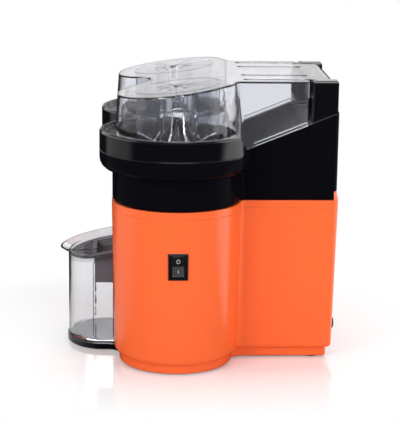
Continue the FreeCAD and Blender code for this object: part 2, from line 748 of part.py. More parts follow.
def hinge_block(name, side):
    """Block that carries one end of the lid, standing on the sloping deck."""
    body = new_body(name)
    sketch = sketch_on(body, name + "_side", "YZ_Plane")
    outline(sketch, [
        ("ear_front", "deck_at_ear"),
        ("ear_rear", "deck_at_back"),
        ("ear_rear", "ear_top"),
        ("ear_front", "ear_top"),
    ])
    pad = body.newObject("PartDesign::Pad", name + "_pad")
    pad.Profile = sketch
    pad.setExpression("Length", "Sizes.ear_width")
    doc.recompute()
    tops = []
    for index, edge in enumerate(pad.Shape.Edges, start=1):
        if edge.BoundBox.ZMin > size("ear_top") - 0.01:
            tops.append(f"Edge{index}")
    soft = body.newObject("PartDesign::Fillet", name + "_edge")
    soft.Base = (pad, tops)
    soft.setExpression("Radius", "Sizes.ear_edge")
    doc.recompute()
    bore = sketch_on(body, name + "_bore", "YZ_Plane")
    centre = Vector(size("hinge_y"), size("hinge_z"), 0)
    bore.addGeometry(Part.Circle(centre, Vector(0, 0, 1), size("pin_radius")), False)
    for kind, alias in (("DistanceX", "hinge_y"), ("DistanceY", "hinge_z")):
        spot = bore.addConstraint(Sketcher.Constraint(kind, -1, 1, 0, 3, size(alias)))
        bore.setExpression(f"Constraints[{spot}]", f"Sizes.{alias}")
    spot = bore.addConstraint(Sketcher.Constraint("Radius", 0, size("pin_radius")))
    bore.setExpression(f"Constraints[{spot}]", "Sizes.pin_radius + Sizes.seat_gap")
    hole = body.newObject("PartDesign::Pocket", name + "_bore_cut")
    hole.Profile = bore
    hole.setExpression("Length", "Sizes.pin_end - Sizes.ear_inner + Sizes.fit_gap")
    if side > 0:
        hole.Reversed = True
        put(body, "x", "Sizes.ear_inner")
    else:
        bore.setExpression("AttachmentOffset.Base.z", "Sizes.ear_width")
        put(body, "x", "-Sizes.ear_inner - Sizes.ear_width")
    doc.recompute()
    if hole.Shape.Volume > soft.Shape.Volume - 100:
        raise RuntimeError("the pin bore cut nothing")
    return body


def lid_roof(drop):
    """Everything above the lid's roof, lowered by drop."""
    bend = size("slope_end")
    return across([
        (-FAR, roof_at(-FAR) - drop), (bend, roof_at(bend) - drop), (FAR, roof_at(bend) - drop),
        (FAR, 3 * FAR), (-FAR, 3 * FAR),
    ], FAR)


def lid_shell(inset):
    """Solid inside the lid's outer walls, offset inwards."""
    foot = size("lid_foot_radius")
    sections = []
    for level, radius in (
        (size("deck_front") - 6, foot),
        (size("shelf_level") + 12, foot),
        (size("lid_top") + 4, size("lid_head_radius")),
    ):
        sections.append(plan(inset, level, radius, size("lid_half"), size("arm_end"), size("arm_corner")))
    return loft(sections)


def lid_tongue():
    """Part between the hinge blocks, with its end rolled round the hinge axis."""
    y = size("hinge_y")
    z = size("hinge_z")
    roll = size("lid_top") - z
    wall = size("lid_wall")
    rear = size("arm_end")
    inner = size("knuckle_inner")

    def rolled(radius, width, start):
        barrel = Part.makeCylinder(radius, 2 * width, Vector(-width, y, z), Vector(1, 0, 0))
        return barrel.fuse(box(-width, width, start, y, z - radius, z + radius))

    solid = rolled(roll, size("ear_inner") - size("ear_side_gap"), rear - wall / 2)
    channel = rolled(roll - wall, inner, rear)
    open_below = box(-inner, inner, rear, y + roll - wall, z - 2 * roll, z)
    return solid.cut([channel, open_below])


def head_ring(x):
    """Low raised ring and rays that follow the sloping roof over one head."""
    radius = size("ring_radius")
    width = size("ring_width")
    top = roof_at(0)
    low = top - 20
    high = top + 20
    ring = tube(radius + width / 2, radius - width / 2, low, high, x)
    ray = box(x + size("ray_inner"), x + size("ray_outer"), -width / 2, width / 2, low, high)
    rays = []
    for i in range(int(size("ray_count"))):
        spoke = ray.copy()
        spoke.rotate(Vector(x, 0, 0), Vector(0, 0, 1), 360 * (i + 0.5) / size("ray_count"))
        rays.append(spoke)
    marks = ring.fuse(rays)
    return marks.cut(lid_roof(-size("ring_high"))).common(lid_roof(size("lid_wall") / 2))


def lid():
    wall = size("lid_wall")
    gap = size("fit_gap")
    half = size("lid_half")
    rear = size("arm_end")
    shelf = size("shelf_level") + gap
    foot = size("deck_front") + gap
    below = across([
        (-FAR, shelf), (cut_at(shelf) + 2 * gap, shelf), (cut_at(foot) + 2 * gap, foot),
        (FAR, deck_height(FAR) + gap), (FAR, -FAR), (-FAR, -FAR),
    ], FAR)
    outside = lid_shell(0).cut(lid_roof(0))
    inside = lid_shell(wall).cut(lid_roof(wall))
    # side flanges that lie on the deck
    start = size("cut_low") + 4
    high = size("flange_high")
    flange = across([
        (start, deck_height(start) + gap), (rear, deck_height(rear) + gap),
        (rear, deck_height(rear) + high), (start + 2, deck_height(start + 2) + high),
    ], size("flange_half"))
    flange = flange.cut(box(-half + 1, half - 1, 0, FAR, 0, FAR))
    body = outside.cut([inside, below]).fuse([flange, lid_tongue()] + both(head_ring))
    bore = size("pin_radius") + size("run_gap")
    start = Vector(-FAR, size("hinge_y"), size("hinge_z"))
    holes = [Part.makeCylinder(bore, 2 * FAR, start, Vector(1, 0, 0))]
    top = roof_at(0)
    holes += both(lambda x: cylinder(2 + size("seat_gap"), top - 10, top + 10, x))
    holes += both(lambda x: cylinder(5, top - 1.2, top + 10, x))
    return body.cut(holes)


def presser(x):
    """Cup and radial fins that hold the fruit down, hanging under the lid's roof."""
    hub = size("presser_hub")
    low = size("hub_low")
    high = size("lid_top")
    outer = size("presser_radius")
    thick = size("fin_thick")
    foot = size("presser_low")
    core = revolved([(0, low + 8), (hub - 7, low + 3), (hub - 4, low), (hub - 1, low), (hub, high), (0, high)])
    points = [
        (hub - 2, high), (outer, high), (outer, foot + 7),
        (31.0, foot), (hub + 1.3, foot + 12), (hub - 2, low + 3),
    ]
    face = closed_face([Vector(radius, -thick / 2, level) for radius, level in points])
    fin = face.extrude(Vector(0, thick, 0))
    body = core.fuse(round_about(fin, int(size("fin_count")), 22.5))
    body.translate(Vector(x, 0, 0))
    hole = cylinder(2 + size("seat_gap"), roof_at(0) - 16, high, x)
    return body.cut([lid_roof(size("lid_wall")), hole])


def reamer(name, side):
    """Ribbed cone that is hollow below and has a hexagonal socket for its shaft."""
    body = turned(name, [
        (0, "reamer_tip"),
        (("reamer_radius", 0.11), ("reamer_tip", 0.9955)),
        (("reamer_radius", 0.28), ("reamer_tip", 0.975)),
        (("reamer_radius", 0.52), ("reamer_tip", 0.936)),
        (("reamer_radius", 0.74), ("reamer_tip", 0.902)),
        (("reamer_radius", 0.9), ("reamer_tip", 0.873)),
        ("reamer_radius", "reamer_foot"),
        (("reamer_radius", 0.9), "reamer_foot"),
        (("reamer_radius", 0.79), ("reamer_tip", 0.873)),
        (("reamer_radius", 0.62), ("reamer_tip", 0.902)),
        (("reamer_radius", 0.34), ("reamer_tip", 0.902)),
        (("reamer_radius", 0.34), "dog_low"),
        (0, "dog_low"),
    ])
    rib_sketch = sketch_on(body, name + "_rib", "XZ_Plane")
    outline(rib_sketch, [
        (("reamer_radius", 0.05), ("reamer_tip", 0.985)),
        (("reamer_radius", 0.14), ("reamer_tip", 0.9985)),
        (("reamer_radius", 0.36), ("reamer_tip", 0.979)),
        (("reamer_radius", 0.62), ("reamer_tip", 0.942)),
        (("reamer_radius", 0.84), ("reamer_tip", 0.906)),
        (("reamer_radius", 1.0), ("reamer_tip", 0.875)),
        (("reamer_radius", 1.1), "reamer_foot"),
        (("reamer_radius", 0.93), "reamer_foot"),
        (("reamer_radius", 0.84), ("reamer_tip", 0.873)),
        (("reamer_radius", 0.68), ("reamer_tip", 0.9)),
        (("reamer_radius", 0.4), ("reamer_tip", 0.94)),
    ])
    rib = body.newObject("PartDesign::Pad", name + "_rib_pad")
    rib.Profile = rib_sketch
    rib.setExpression("Length", "Sizes.rib_thick")
    rib.Midplane = True
    doc.recompute()
    ribs = body.newObject("PartDesign::PolarPattern", name + "_ribs")
    ribs.Originals = [rib]
    ribs.Axis = (origin_item(body, "Z_Axis"), [""])
    ribs.Angle = 360
    ribs.setExpression("Occurrences", "Sizes.rib_count")
    body.Tip = ribs
    doc.recompute()
    socket = sketch_on(body, name + "_socket", "XY_Plane")
    hexagon(socket, "Sizes.shaft_radius + 2 * Sizes.seat_gap", size("shaft_radius"))
    cut = body.newObject("PartDesign::Pocket", name + "_socket_cut")
    cut.Profile = socket
    cut.setExpression("Length", "Sizes.shaft_top + 1")
    cut.Reversed = True
    body.Tip = cut
    put(body, "x", "Sizes.head_x" if side > 0 else "-Sizes.head_x")
    doc.recompute()
    if cut.Shape.Volume > ribs.Shape.Volume - 100:
        raise RuntimeError("the socket cut nothing")
    return body


def drive_shaft(name, side):
    """Round shaft with a hexagonal top for the reamer."""
    body = turned(name, [
        (0, "bush_low"),
        (("shaft_radius", 0.9), "bush_low"),
        ("shaft_radius", ("bush_low", 1.005)),
        ("shaft_radius", "dog_low"),
        (0, "dog_low"),
    ])
    top = sketch_on(body, name + "_dog", "XY_Plane")
    hexagon(top, "Sizes.shaft_radius", size("shaft_radius"))
    top.setExpression("AttachmentOffset.Base.z", "Sizes.dog_low - 2")
    dog = body.newObject("PartDesign::Pad", name + "_dog_pad")
    dog.Profile = top
    dog.setExpression("Length", "Sizes.shaft_top - Sizes.dog_low + 2")
    body.Tip = dog
    put(body, "x", "Sizes.head_x" if side > 0 else "-Sizes.head_x")
    return body


def tooth_points(module, teeth, phase):
    """Outline of a spur gear, (radius, angle), with its involute flanks cut as chords."""
    pitch = module * teeth / 2
    base = pitch * math.cos(math.radians(20))
    tip = pitch + 0.9 * module
    root = pitch - 1.2 * module

    def unrolled(radius):
        lean = math.acos(min(1.0, base / radius))
        return math.tan(lean) - lean

    half = math.pi / (2 * teeth) - size("backlash") / (4 * pitch)
    radii = (max(base, root), pitch, tip)
    flank = [(radius, half + unrolled(pitch) - unrolled(radius)) for radius in radii]
    if root < base:
        flank.insert(0, (root, flank[0][1]))
    points = []
    for index in range(teeth):
        middle = phase + 2 * math.pi * index / teeth
        points += [(radius, middle - spread) for radius, spread in flank]
        points += [(radius, middle + spread) for radius, spread in reversed(flank)]
    return points


def gear(module, teeth, phase, x, y, low, width):
    corners = []
    for radius, angle in tooth_points(module, teeth, phase):
        corners.append(Vector(x + radius * math.cos(angle), y + radius * math.sin(angle), low))
    return closed_face(corners).extrude(Vector(0, 0, width))


def mating_phase(centre, pitch, teeth, phase, other, other_pitch, other_teeth):
    """Phase of the second gear whose gap takes the first gear's tooth nearest their line of centres."""
    toward = math.atan2(other[1] - centre[1], other[0] - centre[0])
    ahead = (phase - toward) % (2 * math.pi / teeth)
    gap = toward + math.pi - ahead * pitch / other_pitch
    return gap + math.pi / other_teeth


def cluster_gear(middle):
    """Large wheel and small wheel moulded as one."""
    low = size("big_level")
    high = low + size("big_width")
    big_teeth = int(size("teeth_big"))
    small_teeth = int(size("teeth_mid"))
    big = gear(size("module_in"), big_teeth, 0.0, *middle, low, size("big_width"))
    small_pitch = size("module_out") * small_teeth / 2
    web = tube(size("module_in") * big_teeth / 2 - 6, small_pitch - 6, low - 1, low + 2.5, *middle)
    small = gear(size("module_out"), small_teeth, math.pi / 2, *middle, high, size("mid_width"))
    bore = cylinder(size("axle_radius") + size("run_gap"), low - 1, high + size("mid_width") + 1, *middle)
    return big.cut(web).fuse(small).cut(bore)


def output_gear(middle, centre):
    teeth = int(size("teeth_out"))
    small_teeth = int(size("teeth_mid"))
    module = size("module_out")
    pitch = module * teeth / 2
    small_pitch = module * small_teeth / 2
    phase = mating_phase(middle, small_pitch, small_teeth, math.pi / 2, centre, pitch, teeth)
    low = size("out_level")
    high = low + size("out_width")
    wheel = gear(module, teeth, phase, *centre, low, size("out_width"))
    rim = pitch - 8
    hub = size("shaft_radius") + 8
    return wheel.cut([
        tube(rim, hub, high - 3, high + 1, *centre),
        tube(rim, hub, low - 1, low + 3, *centre),
        cylinder(size("shaft_radius") + size("seat_gap"), low - 1, high + 1, *centre),
    ])


def motor_shaft(middle, motor):
    """Rotor shaft with the pinion cut on it."""
    module = size("module_in")
    big_teeth = int(size("teeth_big"))
    teeth = int(size("teeth_motor"))
    big_pitch = module * big_teeth / 2
    pitch = module * teeth / 2
    phase = mating_phase(middle, big_pitch, big_teeth, 0.0, motor, pitch, teeth)
    low = size("big_level")
    high = low + size("big_width")
    pinion = gear(module, teeth, phase, *motor, low - 0.5, size("big_width") + 1)
    shaft = cylinder(size("axle_radius"), size("motor_low") + 6, high + 2, *motor)
    return pinion.fuse(shaft).removeSplitter()


def motor_body():
    y = size("motor_y")
    radius = size("motor_radius")
    low = size("motor_low")
    top = size("plate_level")
    case = revolved([
        (0, low), (radius - 8, low), (radius - 6, low + 4), (radius - 3, low + 5), (radius, low + 8),
        (radius, top - 6), (radius - 3, top - 3), (radius - 3, top), (0, top),
    ])
    case = case.cut(round_about(box(radius - 5, radius + 5, -3, 3, low + 20, top - 24), 8))
    case.translate(Vector(0, y, 0))
    holes = [cylinder(size("screw_bore"), top - 8, top + 1, *spot) for spot in motor_screw_places()]
    holes.append(cylinder(size("axle_radius") + size("run_gap"), low + 5, top + 1, 0, y))
    return case.cut(holes)


def gear_plate():
    low = size("plate_level")
    high = low + size("plate_thick")
    plate = loft([plan(size("plate_inset"), level) for level in (low, high)])
    holes = both(lambda x: cylinder(size("bush_radius"), low - 1, high + 1, x))
    holes.append(cylinder(size("axle_radius") + size("seat_gap"), low - 1, high + 1, 0, size("mid_y")))
    holes.append(cylinder(size("axle_radius") + 2, low - 1, high + 1, 0, size("motor_y")))
    for spot in motor_screw_places() + post_places():
        holes.append(cylinder(size("screw_bore"), low - 1, high + 1, *spot))
    return plate.cut(holes)


def gear_cover():
    low = size("cover_level")
    high = size("cover_top")
    floor = size("plate_level") + size("plate_thick")
    plate = loft([plan(size("plate_inset"), level) for level in (low, high)])
    plate = plate.fuse([cylinder(size("post_radius"), floor, low + 1, *spot) for spot in post_places()])
    holes = both(lambda x: cylinder(size("shaft_radius") + 1, low - 1, high + 1, x))
    holes.append(cylinder(size("axle_radius") + size("seat_gap"), low - 1, high + 1, 0, size("mid_y")))
    for spot in post_places():
        holes.append(cylinder(size("screw_bore"), floor - 1, high + 1, *spot))
        holes.append(cylinder(2 * size("screw_radius"), high - 1.8, high + 1, *spot))
    return plate.cut(holes)


def bezel_wire(x, inset):
    wide = size("bezel_width") / 2 - inset
    tall = size("bezel_height") / 2 - inset
    level = size("switch_level")
    corners = [(-wide, -tall), (wide, -tall), (wide, tall), (-wide, tall), (-wide, -tall)]
    return Part.makePolygon([Vector(x, y, level + z) for y, z in corners])


def switch_body():
    """Snap-in rocker switch: frame on the flat and a hollow case behind it."""
    face = switch_face()
    level = size("switch_level")
    wide = size("bezel_width") / 2
    tall = size("bezel_height") / 2
    depth = size("switch_depth")
    thick = size("bezel_thick")
    frame = loft([bezel_wire(face, 0.0), bezel_wire(face + thick - 0.8, 0.0), bezel_wire(face + thick, 0.8)])
    step = size("bezel_step") + size("seat_gap")
    case = box(face - depth, face + 0.5, step - wide, wide - step, level - tall + step, level + tall - step)
    half = wide - size("bezel_border")
    reach = tall - size("bezel_end")
    well = box(face - depth + 3, face + 20, -half, half, level - reach, level + reach)
    start = Vector(face - size("rocker_pivot"), -half - 1.6, level)
    pivot = Part.makeCylinder(1.5 + size("run_gap"), 2 * (half + 1.6), start, Vector(0, 1, 0))
    return frame.fuse(case).cut([well, pivot])


def switch_rocker():
    """Rocker with two faces that meet at a shallow angle, tilted with its top pressed in."""
    tilt = math.radians(size("rocker_tilt"))
    wide = size("bezel_width") / 2 - size("bezel_border") - size("fit_gap")
    room = size("bezel_height") / 2 - size("bezel_end") - size("fit_gap")
    deep = size("rocker_pivot")
    proud = deep + size("rocker_proud")
    reach = (room - proud * math.sin(tilt)) / math.cos(tilt)
    points = [
        (proud, -reach), (proud - 2.2, 0), (proud, reach),
        (deep - 1, reach), (-3.5, 4.5), (-3.5, -4.5), (deep - 1, -reach),
    ]
    body = closed_face([Vector(x, -wide, z) for x, z in points]).extrude(Vector(0, 2 * wide, 0))
    stubs = Part.makeCylinder(1.5, 2 * wide + 2.4, Vector(0, -wide - 1.2, 0), Vector(0, 1, 0))
    body = body.fuse(stubs)
    body.rotate(Vector(0, 0, 0), Vector(0, 1, 0), -size("rocker_tilt"))
    body.translate(Vector(switch_face() - deep, 0, size("switch_level")))
    return body


def cord_gland():
    back = size("gland_back")
    end = size("gland_end")
    radius = size("gland_radius")
    bore = size("gland_bore")
    solid = revolved([
        (bore, back - 8), (radius, back - 8), (radius, back + 0.2), (radius + 2.5, back + 0.2),
        (radius + 1.5, back + 3), (radius - 1.5, end), (bore, end),
    ])
    solid.rotate(Vector(0, 0, 0), Vector(1, 0, 0), -90)
    solid.translate(Vector(size("gland_x"), 0, size("gland_z")))
    return solid


# Cup, strainer and tray share one family of outlines: a rounded front, straight sides
# and a back that keeps its distance from the two lobes and reaches into the valley.


def nose(half, front, height_at, slope=0.0):
    """Quarter ellipse from the middle of the front to the start of the right-hand side."""
    start = size("front_centre")
    points = []
    for index in range(7):
        angle = math.pi / 2 * index / 6
        y = -start - (front - start) * math.cos(angle)
        points.append(Vector(half * math.sin(angle), y, height_at(y)))
    curve = Part.BSplineCurve()
    curve.interpolate(points, InitialTangent=Vector(1, 0, 0), FinalTangent=Vector(0, 1, slope))
    return curve.toShape()


def cup_outline(grow, inset, height, reach=0.0, tilted=True):
    """Outline of the cup. A tilted one is parallel to its rim, and height counts from there."""
    slope = size("rim_slope") if tilted else 0.0
    base = size("rim_front") + height if tilted else height
    head = (size("head_x"), 0.0)
    valley = (0.0, valley_y())
    half = size("cup_half") + grow - inset
    start = size("front_centre")
    lobe = size("body_radius") + size("cup_gap") + inset
    hollow = math.hypot(head[0], valley[1]) - lobe
    corner = size("cup_corner") - inset
    pivot_x = half - corner
    pivot_y = -math.sqrt((lobe + corner) ** 2 - (head[0] - pivot_x) ** 2)

    def height_at(y):
        return base + slope * (y + size("cup_front"))

    def at(centre, radius, angle):
        spot = on_circle(centre, radius, angle, 0)
        return (spot[0], spot[1], height_at(spot[1]))

    away = math.atan2(pivot_y, pivot_x - head[0])
    toward = math.atan2(valley[1], -head[0])
    up = toward + math.pi
    pivot = (pivot_x, pivot_y)
    touch = at(head, lobe, away)
    first = at(head, lobe, toward)
    side = at(pivot, corner, 0.0)
    edges = [
        nose(half, size("cup_front") + reach - inset, height_at, slope),
        line((half, -start, height_at(-start)), side),
        arc(side, at(pivot, corner, (away + math.pi) / 2), touch),
        arc(touch, at(head, lobe, (away + toward) / 2), first),
        arc(first, at(valley, hollow, (up + math.pi / 2) / 2), at(valley, hollow, math.pi / 2)),
    ]
    return mirrored_wire(edges)


def juice_cup():
    wall = size("cup_wall")
    low = size("tray_top") + size("fit_gap")
    grow = size("cup_grow")
    drop = size("rim_drop")
    rim_grow = size("rim_grow")
    reach = size("rim_reach")
    outside = loft([
        cup_outline(-1.5, 0, low, tilted=False),
        cup_outline(0, 0, low + 2, tilted=False),
        cup_outline(grow, 0, -drop),
        cup_outline(rim_grow, 0, 0, reach),
    ])
    inside = loft([
        cup_outline(0, wall, low + wall, tilted=False),
        cup_outline(grow, wall, -drop + 0.6),
        cup_outline(rim_grow, wall, 0.6, reach + 0.6),
    ])
    # small ledges that carry the strainer
    level = size("rim_front") - size("basket_drop") - size("basket_thick") - size("fit_gap")
    x = size("cup_half") + grow - wall
    ledges = []
    for y in (-72.0, -96.0):
        height = level + size("rim_slope") * (y - 2.5 + size("cup_front"))
        ledges += [box(side * x - 1.6, side * x + 1.6, y - 2.5, y + 2.5, height - 3, height) for side in (1, -1)]
    keep = loft([cup_outline(0, wall / 2, low + wall, tilted=False), cup_outline(grow, wall / 2, -drop)])
    return outside.cut(inside).fuse([ledge.common(keep) for ledge in ledges])


def well_plan(inset, low, high):
    """Deep part of the strainer: wide in front and narrow where it reaches into the valley."""
    half = size("well_half") - inset
    step = -66.0 - inset
    wide = box(-half, half, inset - size("well_front"), step, low, high)
    neck = box(inset - 13.0, 13.0 - inset, step - 1, -49.0 - inset, low, high)
    return wide.fuse(neck)


def cup_strainer():
    grow = size("cup_grow")
    thick = size("basket_thick")
    drop = size("basket_drop")
    skirt = size("basket_skirt")
    edge = size("cup_wall") + 2 * size("fit_gap")
    outer = edge + size("skirt_inset")
    inner = outer + 1.4
    plate = loft([cup_outline(grow, edge, -drop - thick), cup_outline(grow, edge, -drop)])
    rim = loft([cup_outline(grow, outer, -drop - skirt), cup_outline(grow, outer, -drop - thick / 2)])
    rim = rim.cut(loft([cup_outline(grow, inner, -drop - skirt - 1), cup_outline(grow, inner, -drop + 1)]))
    slope = size("rim_slope")
    level = size("rim_front") - drop + slope * size("cup_front")
    above = across([(-FAR, level - FAR * slope), (FAR, level + FAR * slope), (FAR, FAR), (-FAR, FAR)], FAR)
    low = size("well_low")
    body = plate.fuse([rim, well_plan(0, low, FAR / 2).cut(above)])
    body = body.cut(well_plan(thick, low + thick, FAR / 2))
    front = -size("well_front")
    slots = []
    for index in range(-7, 8):
        x = 4.4 * index
        reach = 14.0 if abs(index) < 6 else 8.0
        slots.append(box(x - 1.1, x + 1.1, front - reach, front - 3, 90, 130))
    for index in range(-5, 6):
        x = 5.0 * index
        slots.append(box(x - 1.1, x + 1.1, front + 5, -71, low - 5, low + 5))
    return body.cut(slots)


def cup_tray():
    half = size("tray_half")
    start = size("front_centre")
    low = size("tray_low")
    head = (size("head_x"), 0.0)
    valley = (0.0, valley_y())
    lobe = size("body_radius") - size("plinth_inset") + size("fit_gap")
    hollow = math.hypot(head[0], valley[1]) - lobe
    fillet = size("tray_fillet")
    knee = (half + fillet, -math.sqrt((lobe + fillet) ** 2 - (head[0] - half - fillet) ** 2))
    lean = math.atan2(-knee[1], head[0] - knee[0])
    touch = on_circle(knee, fillet, lean, low)
    bend = on_circle(knee, fillet, (math.pi + lean) / 2, low)
    away = lean + math.pi
    toward = math.atan2(valley[1], -head[0]) + 2 * math.pi
    up = toward - math.pi
    first = on_circle(head, lobe, toward, low)
    edges = [
        nose(half, size("tray_front"), lambda y: low),
        line((half, -start, low), (half, knee[1], low)),
        arc((half, knee[1], low), bend, touch),
        arc(touch, on_circle(head, lobe, (away + toward) / 2, low), first),
        arc(first, on_circle(valley, hollow, (up + math.pi / 2) / 2, low), (0.0, valley[1] + hollow, low)),
    ]
    return Part.Face(mirrored_wire(edges)).extrude(Vector(0, 0, size("tray_top") - low))


def pulp_strainer(x):
    """Flat ring on the bowl's step, with slots between its spokes."""
    low = size("rim_level")
    high = low + size("strainer_thick")
    outer = size("cavity_radius") - size("fit_gap")
    inner = size("strainer_inner")
    slot = box(inner + 4, outer - 6, -1.7, 1.7, low - 1, high + 1)
    ring = tube(outer, inner, low, high).cut(round_about(slot, 20, 9))
    ring.translate(Vector(x, 0, 0))
    return ring


def foot(x, y):
    radius = size("foot_radius")
    high = size("foot_height")
    return revolved([(0, 0), (radius - 1, 0), (radius, high), (0, high)], x, y)


def hinge_pin(side):
    start = Vector(side * (size("knuckle_inner") + 1), size("hinge_y"), size("hinge_z"))
    length = size("pin_end") - size("knuckle_inner") - 1
    return Part.makeCylinder(size("pin_radius"), length, start, Vector(side, 0, 0))


head = size("head_x")
middle = (0.0, size("mid_y"))
motor = (0.0, size("motor_y"))

feature("base_plate", base_plate())
feature("lower_housing", lower_housing())
feature("trim_ring", trim_ring())
feature("upper_housing", upper_housing())
feature("juice_bowl", juice_bowl())
feature("juice_spout", juice_spout())
feature("pulp_strainer_right", pulp_strainer(head))
feature("pulp_strainer_left", pulp_strainer(-head))
feature("lid", lid())
feature("presser_right", presser(head))
feature("presser_left", presser(-head))
hinge_block("hinge_block_right", 1)
hinge_block("hinge_block_left", -1)
feature("motor_body", motor_body())
feature("motor_shaft", motor_shaft(middle, motor))
feature("gear_plate", gear_plate())
feature("gear_cover", gear_cover())
feature("cluster_gear", cluster_gear(middle))
feature("output_gear_right", output_gear(middle, (head, 0.0)))
feature("output_gear_left", output_gear(middle, (-head, 0.0)))
drive_shaft("drive_shaft_right", 1)
drive_shaft("drive_shaft_left", -1)
reamer("reamer_right", 1)
reamer("reamer_left", -1)
axle = turned("gear_axle", [
    (0, "plate_level"), ("axle_radius", "plate_level"), ("axle_radius", "cover_top"), (0, "cover_top"),
])
put(axle, "y", "Sizes.mid_y - Sizes.centre_y")
feature("switch_body", switch_body())
feature("switch_rocker", switch_rocker())
feature("cord_gland", cord_gland())
feature("cup_tray", cup_tray())
feature("juice_cup", juice_cup())
feature("cup_strainer", cup_strainer())

bore = size("shaft_bore")
seat = size("bush_seat")
lower_bushes = both(lambda x: tube(seat, bore, size("bush_low"), size("bush_low") + size("bush_length"), x))
upper_bushes = both(lambda x: tube(seat, bore, size("hub_floor"), size("bush_high"), x))
group("shaft_bushes", lower_bushes + upper_bushes)
group("shaft_seals", both(lambda x: tube(seat, bore, size("seal_low"), size("seal_high"), x)))
group("rubber_feet", [foot(*spot) for spot in foot_places()])
group("hinge_pins", [hinge_pin(1), hinge_pin(-1)])

thread = size("screw_radius")
below = size("foot_height") + 4
group("base_screws", [screw(thread, 12, *spot, below, up=True) for spot in base_screw_places()])
on_cover = size("cover_top") - 1.8
group("gearbox_screws", [screw(thread, 38, *spot, on_cover) for spot in post_places()])
on_plate = size("plate_level") + size("plate_thick")
group("motor_screws", [screw(thread, 9, *spot, on_plate) for spot in motor_screw_places()])
group("presser_screws", both(lambda x: screw(2, 14, x, 0, roof_at(0) - 1.2)))

doc.recompute()
for item in doc.Objects:
    if "Invalid" in item.State or "Error" in item.State:
        raise RuntimeError(f"{item.Name} failed: {item.State}")
for node in NODES:
    if node.Shape.isNull() or not node.Shape.isValid():
        raise RuntimeError(f"{node.Label} has no valid shape")
os.makedirs("parts", exist_ok=True)
for node in NODES:
    node.Shape.exportStep(f"parts/{node.Label}.step")
    print(node.Label, len(node.Shape.Solids), round(node.Shape.Volume / 1000, 2))
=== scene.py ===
import math

import bpy
import numpy as np
from mathutils import Matrix, Vector


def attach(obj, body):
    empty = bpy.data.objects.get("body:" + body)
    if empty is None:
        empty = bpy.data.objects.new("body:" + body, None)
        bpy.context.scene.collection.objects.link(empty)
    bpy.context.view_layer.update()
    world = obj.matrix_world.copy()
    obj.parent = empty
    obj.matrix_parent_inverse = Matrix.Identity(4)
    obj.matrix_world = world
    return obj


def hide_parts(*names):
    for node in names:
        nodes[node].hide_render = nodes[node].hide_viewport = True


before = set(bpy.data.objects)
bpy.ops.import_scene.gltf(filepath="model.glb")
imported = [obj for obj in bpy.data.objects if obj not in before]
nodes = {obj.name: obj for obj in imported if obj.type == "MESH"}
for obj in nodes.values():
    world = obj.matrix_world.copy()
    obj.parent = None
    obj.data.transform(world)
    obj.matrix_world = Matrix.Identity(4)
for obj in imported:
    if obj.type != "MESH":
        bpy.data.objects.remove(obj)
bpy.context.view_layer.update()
depthShift = 0.025445  # the heads' axes lie this far in front of the middle of the footprint
print("frame loaded:", len(nodes), "nodes")


def addNode(tree, kind, **values):
    # a node with its input sockets set by name; _ in a name stands for a space
    node = tree.nodes.new(kind)
    for name, value in values.items():
        node.inputs[name.replace("_", " ")].default_value = value
    return node


def newGroup(name, inputs, outputs):
    tree = bpy.data.node_groups.new(name, "ShaderNodeTree")
    for label, kind, value in inputs:
        socket = tree.interface.new_socket(label, in_out="INPUT", socket_type=kind)
        socket.default_value = value
    for label, kind in outputs:
        tree.interface.new_socket(label, in_out="OUTPUT", socket_type=kind)
    return tree, tree.nodes.new("NodeGroupInput"), tree.nodes.new("NodeGroupOutput")


def useGroup(tree, group, **values):
    node = tree.nodes.new("ShaderNodeGroup")
    node.node_tree = group
    for name, value in values.items():
        node.inputs[name.replace("_", " ")].default_value = value
    return node


def objectCoords(tree):
    return tree.nodes.new("ShaderNodeTexCoord").outputs["Object"]


def noiseAt(tree, coords, scale, detail=3.0, roughness=0.5):
    noise = addNode(tree, "ShaderNodeTexNoise", Detail=detail, Roughness=roughness)
    tree.links.new(coords, noise.inputs["Vector"])
    if isinstance(scale, (int, float)):
        noise.inputs["Scale"].default_value = scale
    else:
        tree.links.new(scale, noise.inputs["Scale"])
    return noise.outputs["Fac"]


def mathNode(tree, operation, first, second=None, clamp=False):
    node = tree.nodes.new("ShaderNodeMath")
    node.operation = operation
    node.use_clamp = clamp
    for socket, value in zip(node.inputs, (first, second)):
        if value is None:
            continue
        if isinstance(value, (int, float)):
            socket.default_value = value
        else:
            tree.links.new(value, socket)
    return node.outputs[0]


def dotNode(tree, first, second):
    node = tree.nodes.new("ShaderNodeVectorMath")
    node.operation = "DOT_PRODUCT"
    tree.links.new(first, node.inputs[0])
    if isinstance(second, tuple):
        node.inputs[1].default_value = second
    else:
        tree.links.new(second, node.inputs[1])
    return node.outputs["Value"]


def splitVector(tree, vector):
    parts = tree.nodes.new("ShaderNodeSeparateXYZ")
    tree.links.new(vector, parts.inputs[0])
    return parts.outputs


def mixColour(tree, factor, first, second):
    node = tree.nodes.new("ShaderNodeMix")
    node.data_type = "RGBA"
    tree.links.new(factor, node.inputs[0])
    for socket, value in ((node.inputs[6], first), (node.inputs[7], second)):
        if isinstance(value, tuple):
            socket.default_value = value
        else:
            tree.links.new(value, socket)
    return node.outputs[2]


def addBump(tree, shader, height, normal, strength, distance):
    # bump over the normal given, if there is one, into the shader
    bump = addNode(tree, "ShaderNodeBump", Strength=strength, Distance=distance)
    tree.links.new(height, bump.inputs["Height"])
    if normal is not None:
        tree.links.new(normal, bump.inputs["Normal"])
    tree.links.new(bump.outputs["Normal"], shader.inputs["Normal"])


def riseFrom(tree, value, start, gain):
    # 0 up to start, then growing by gain, at most 1
    return mathNode(tree, "MULTIPLY", mathNode(tree, "SUBTRACT", value, start), gain, True)


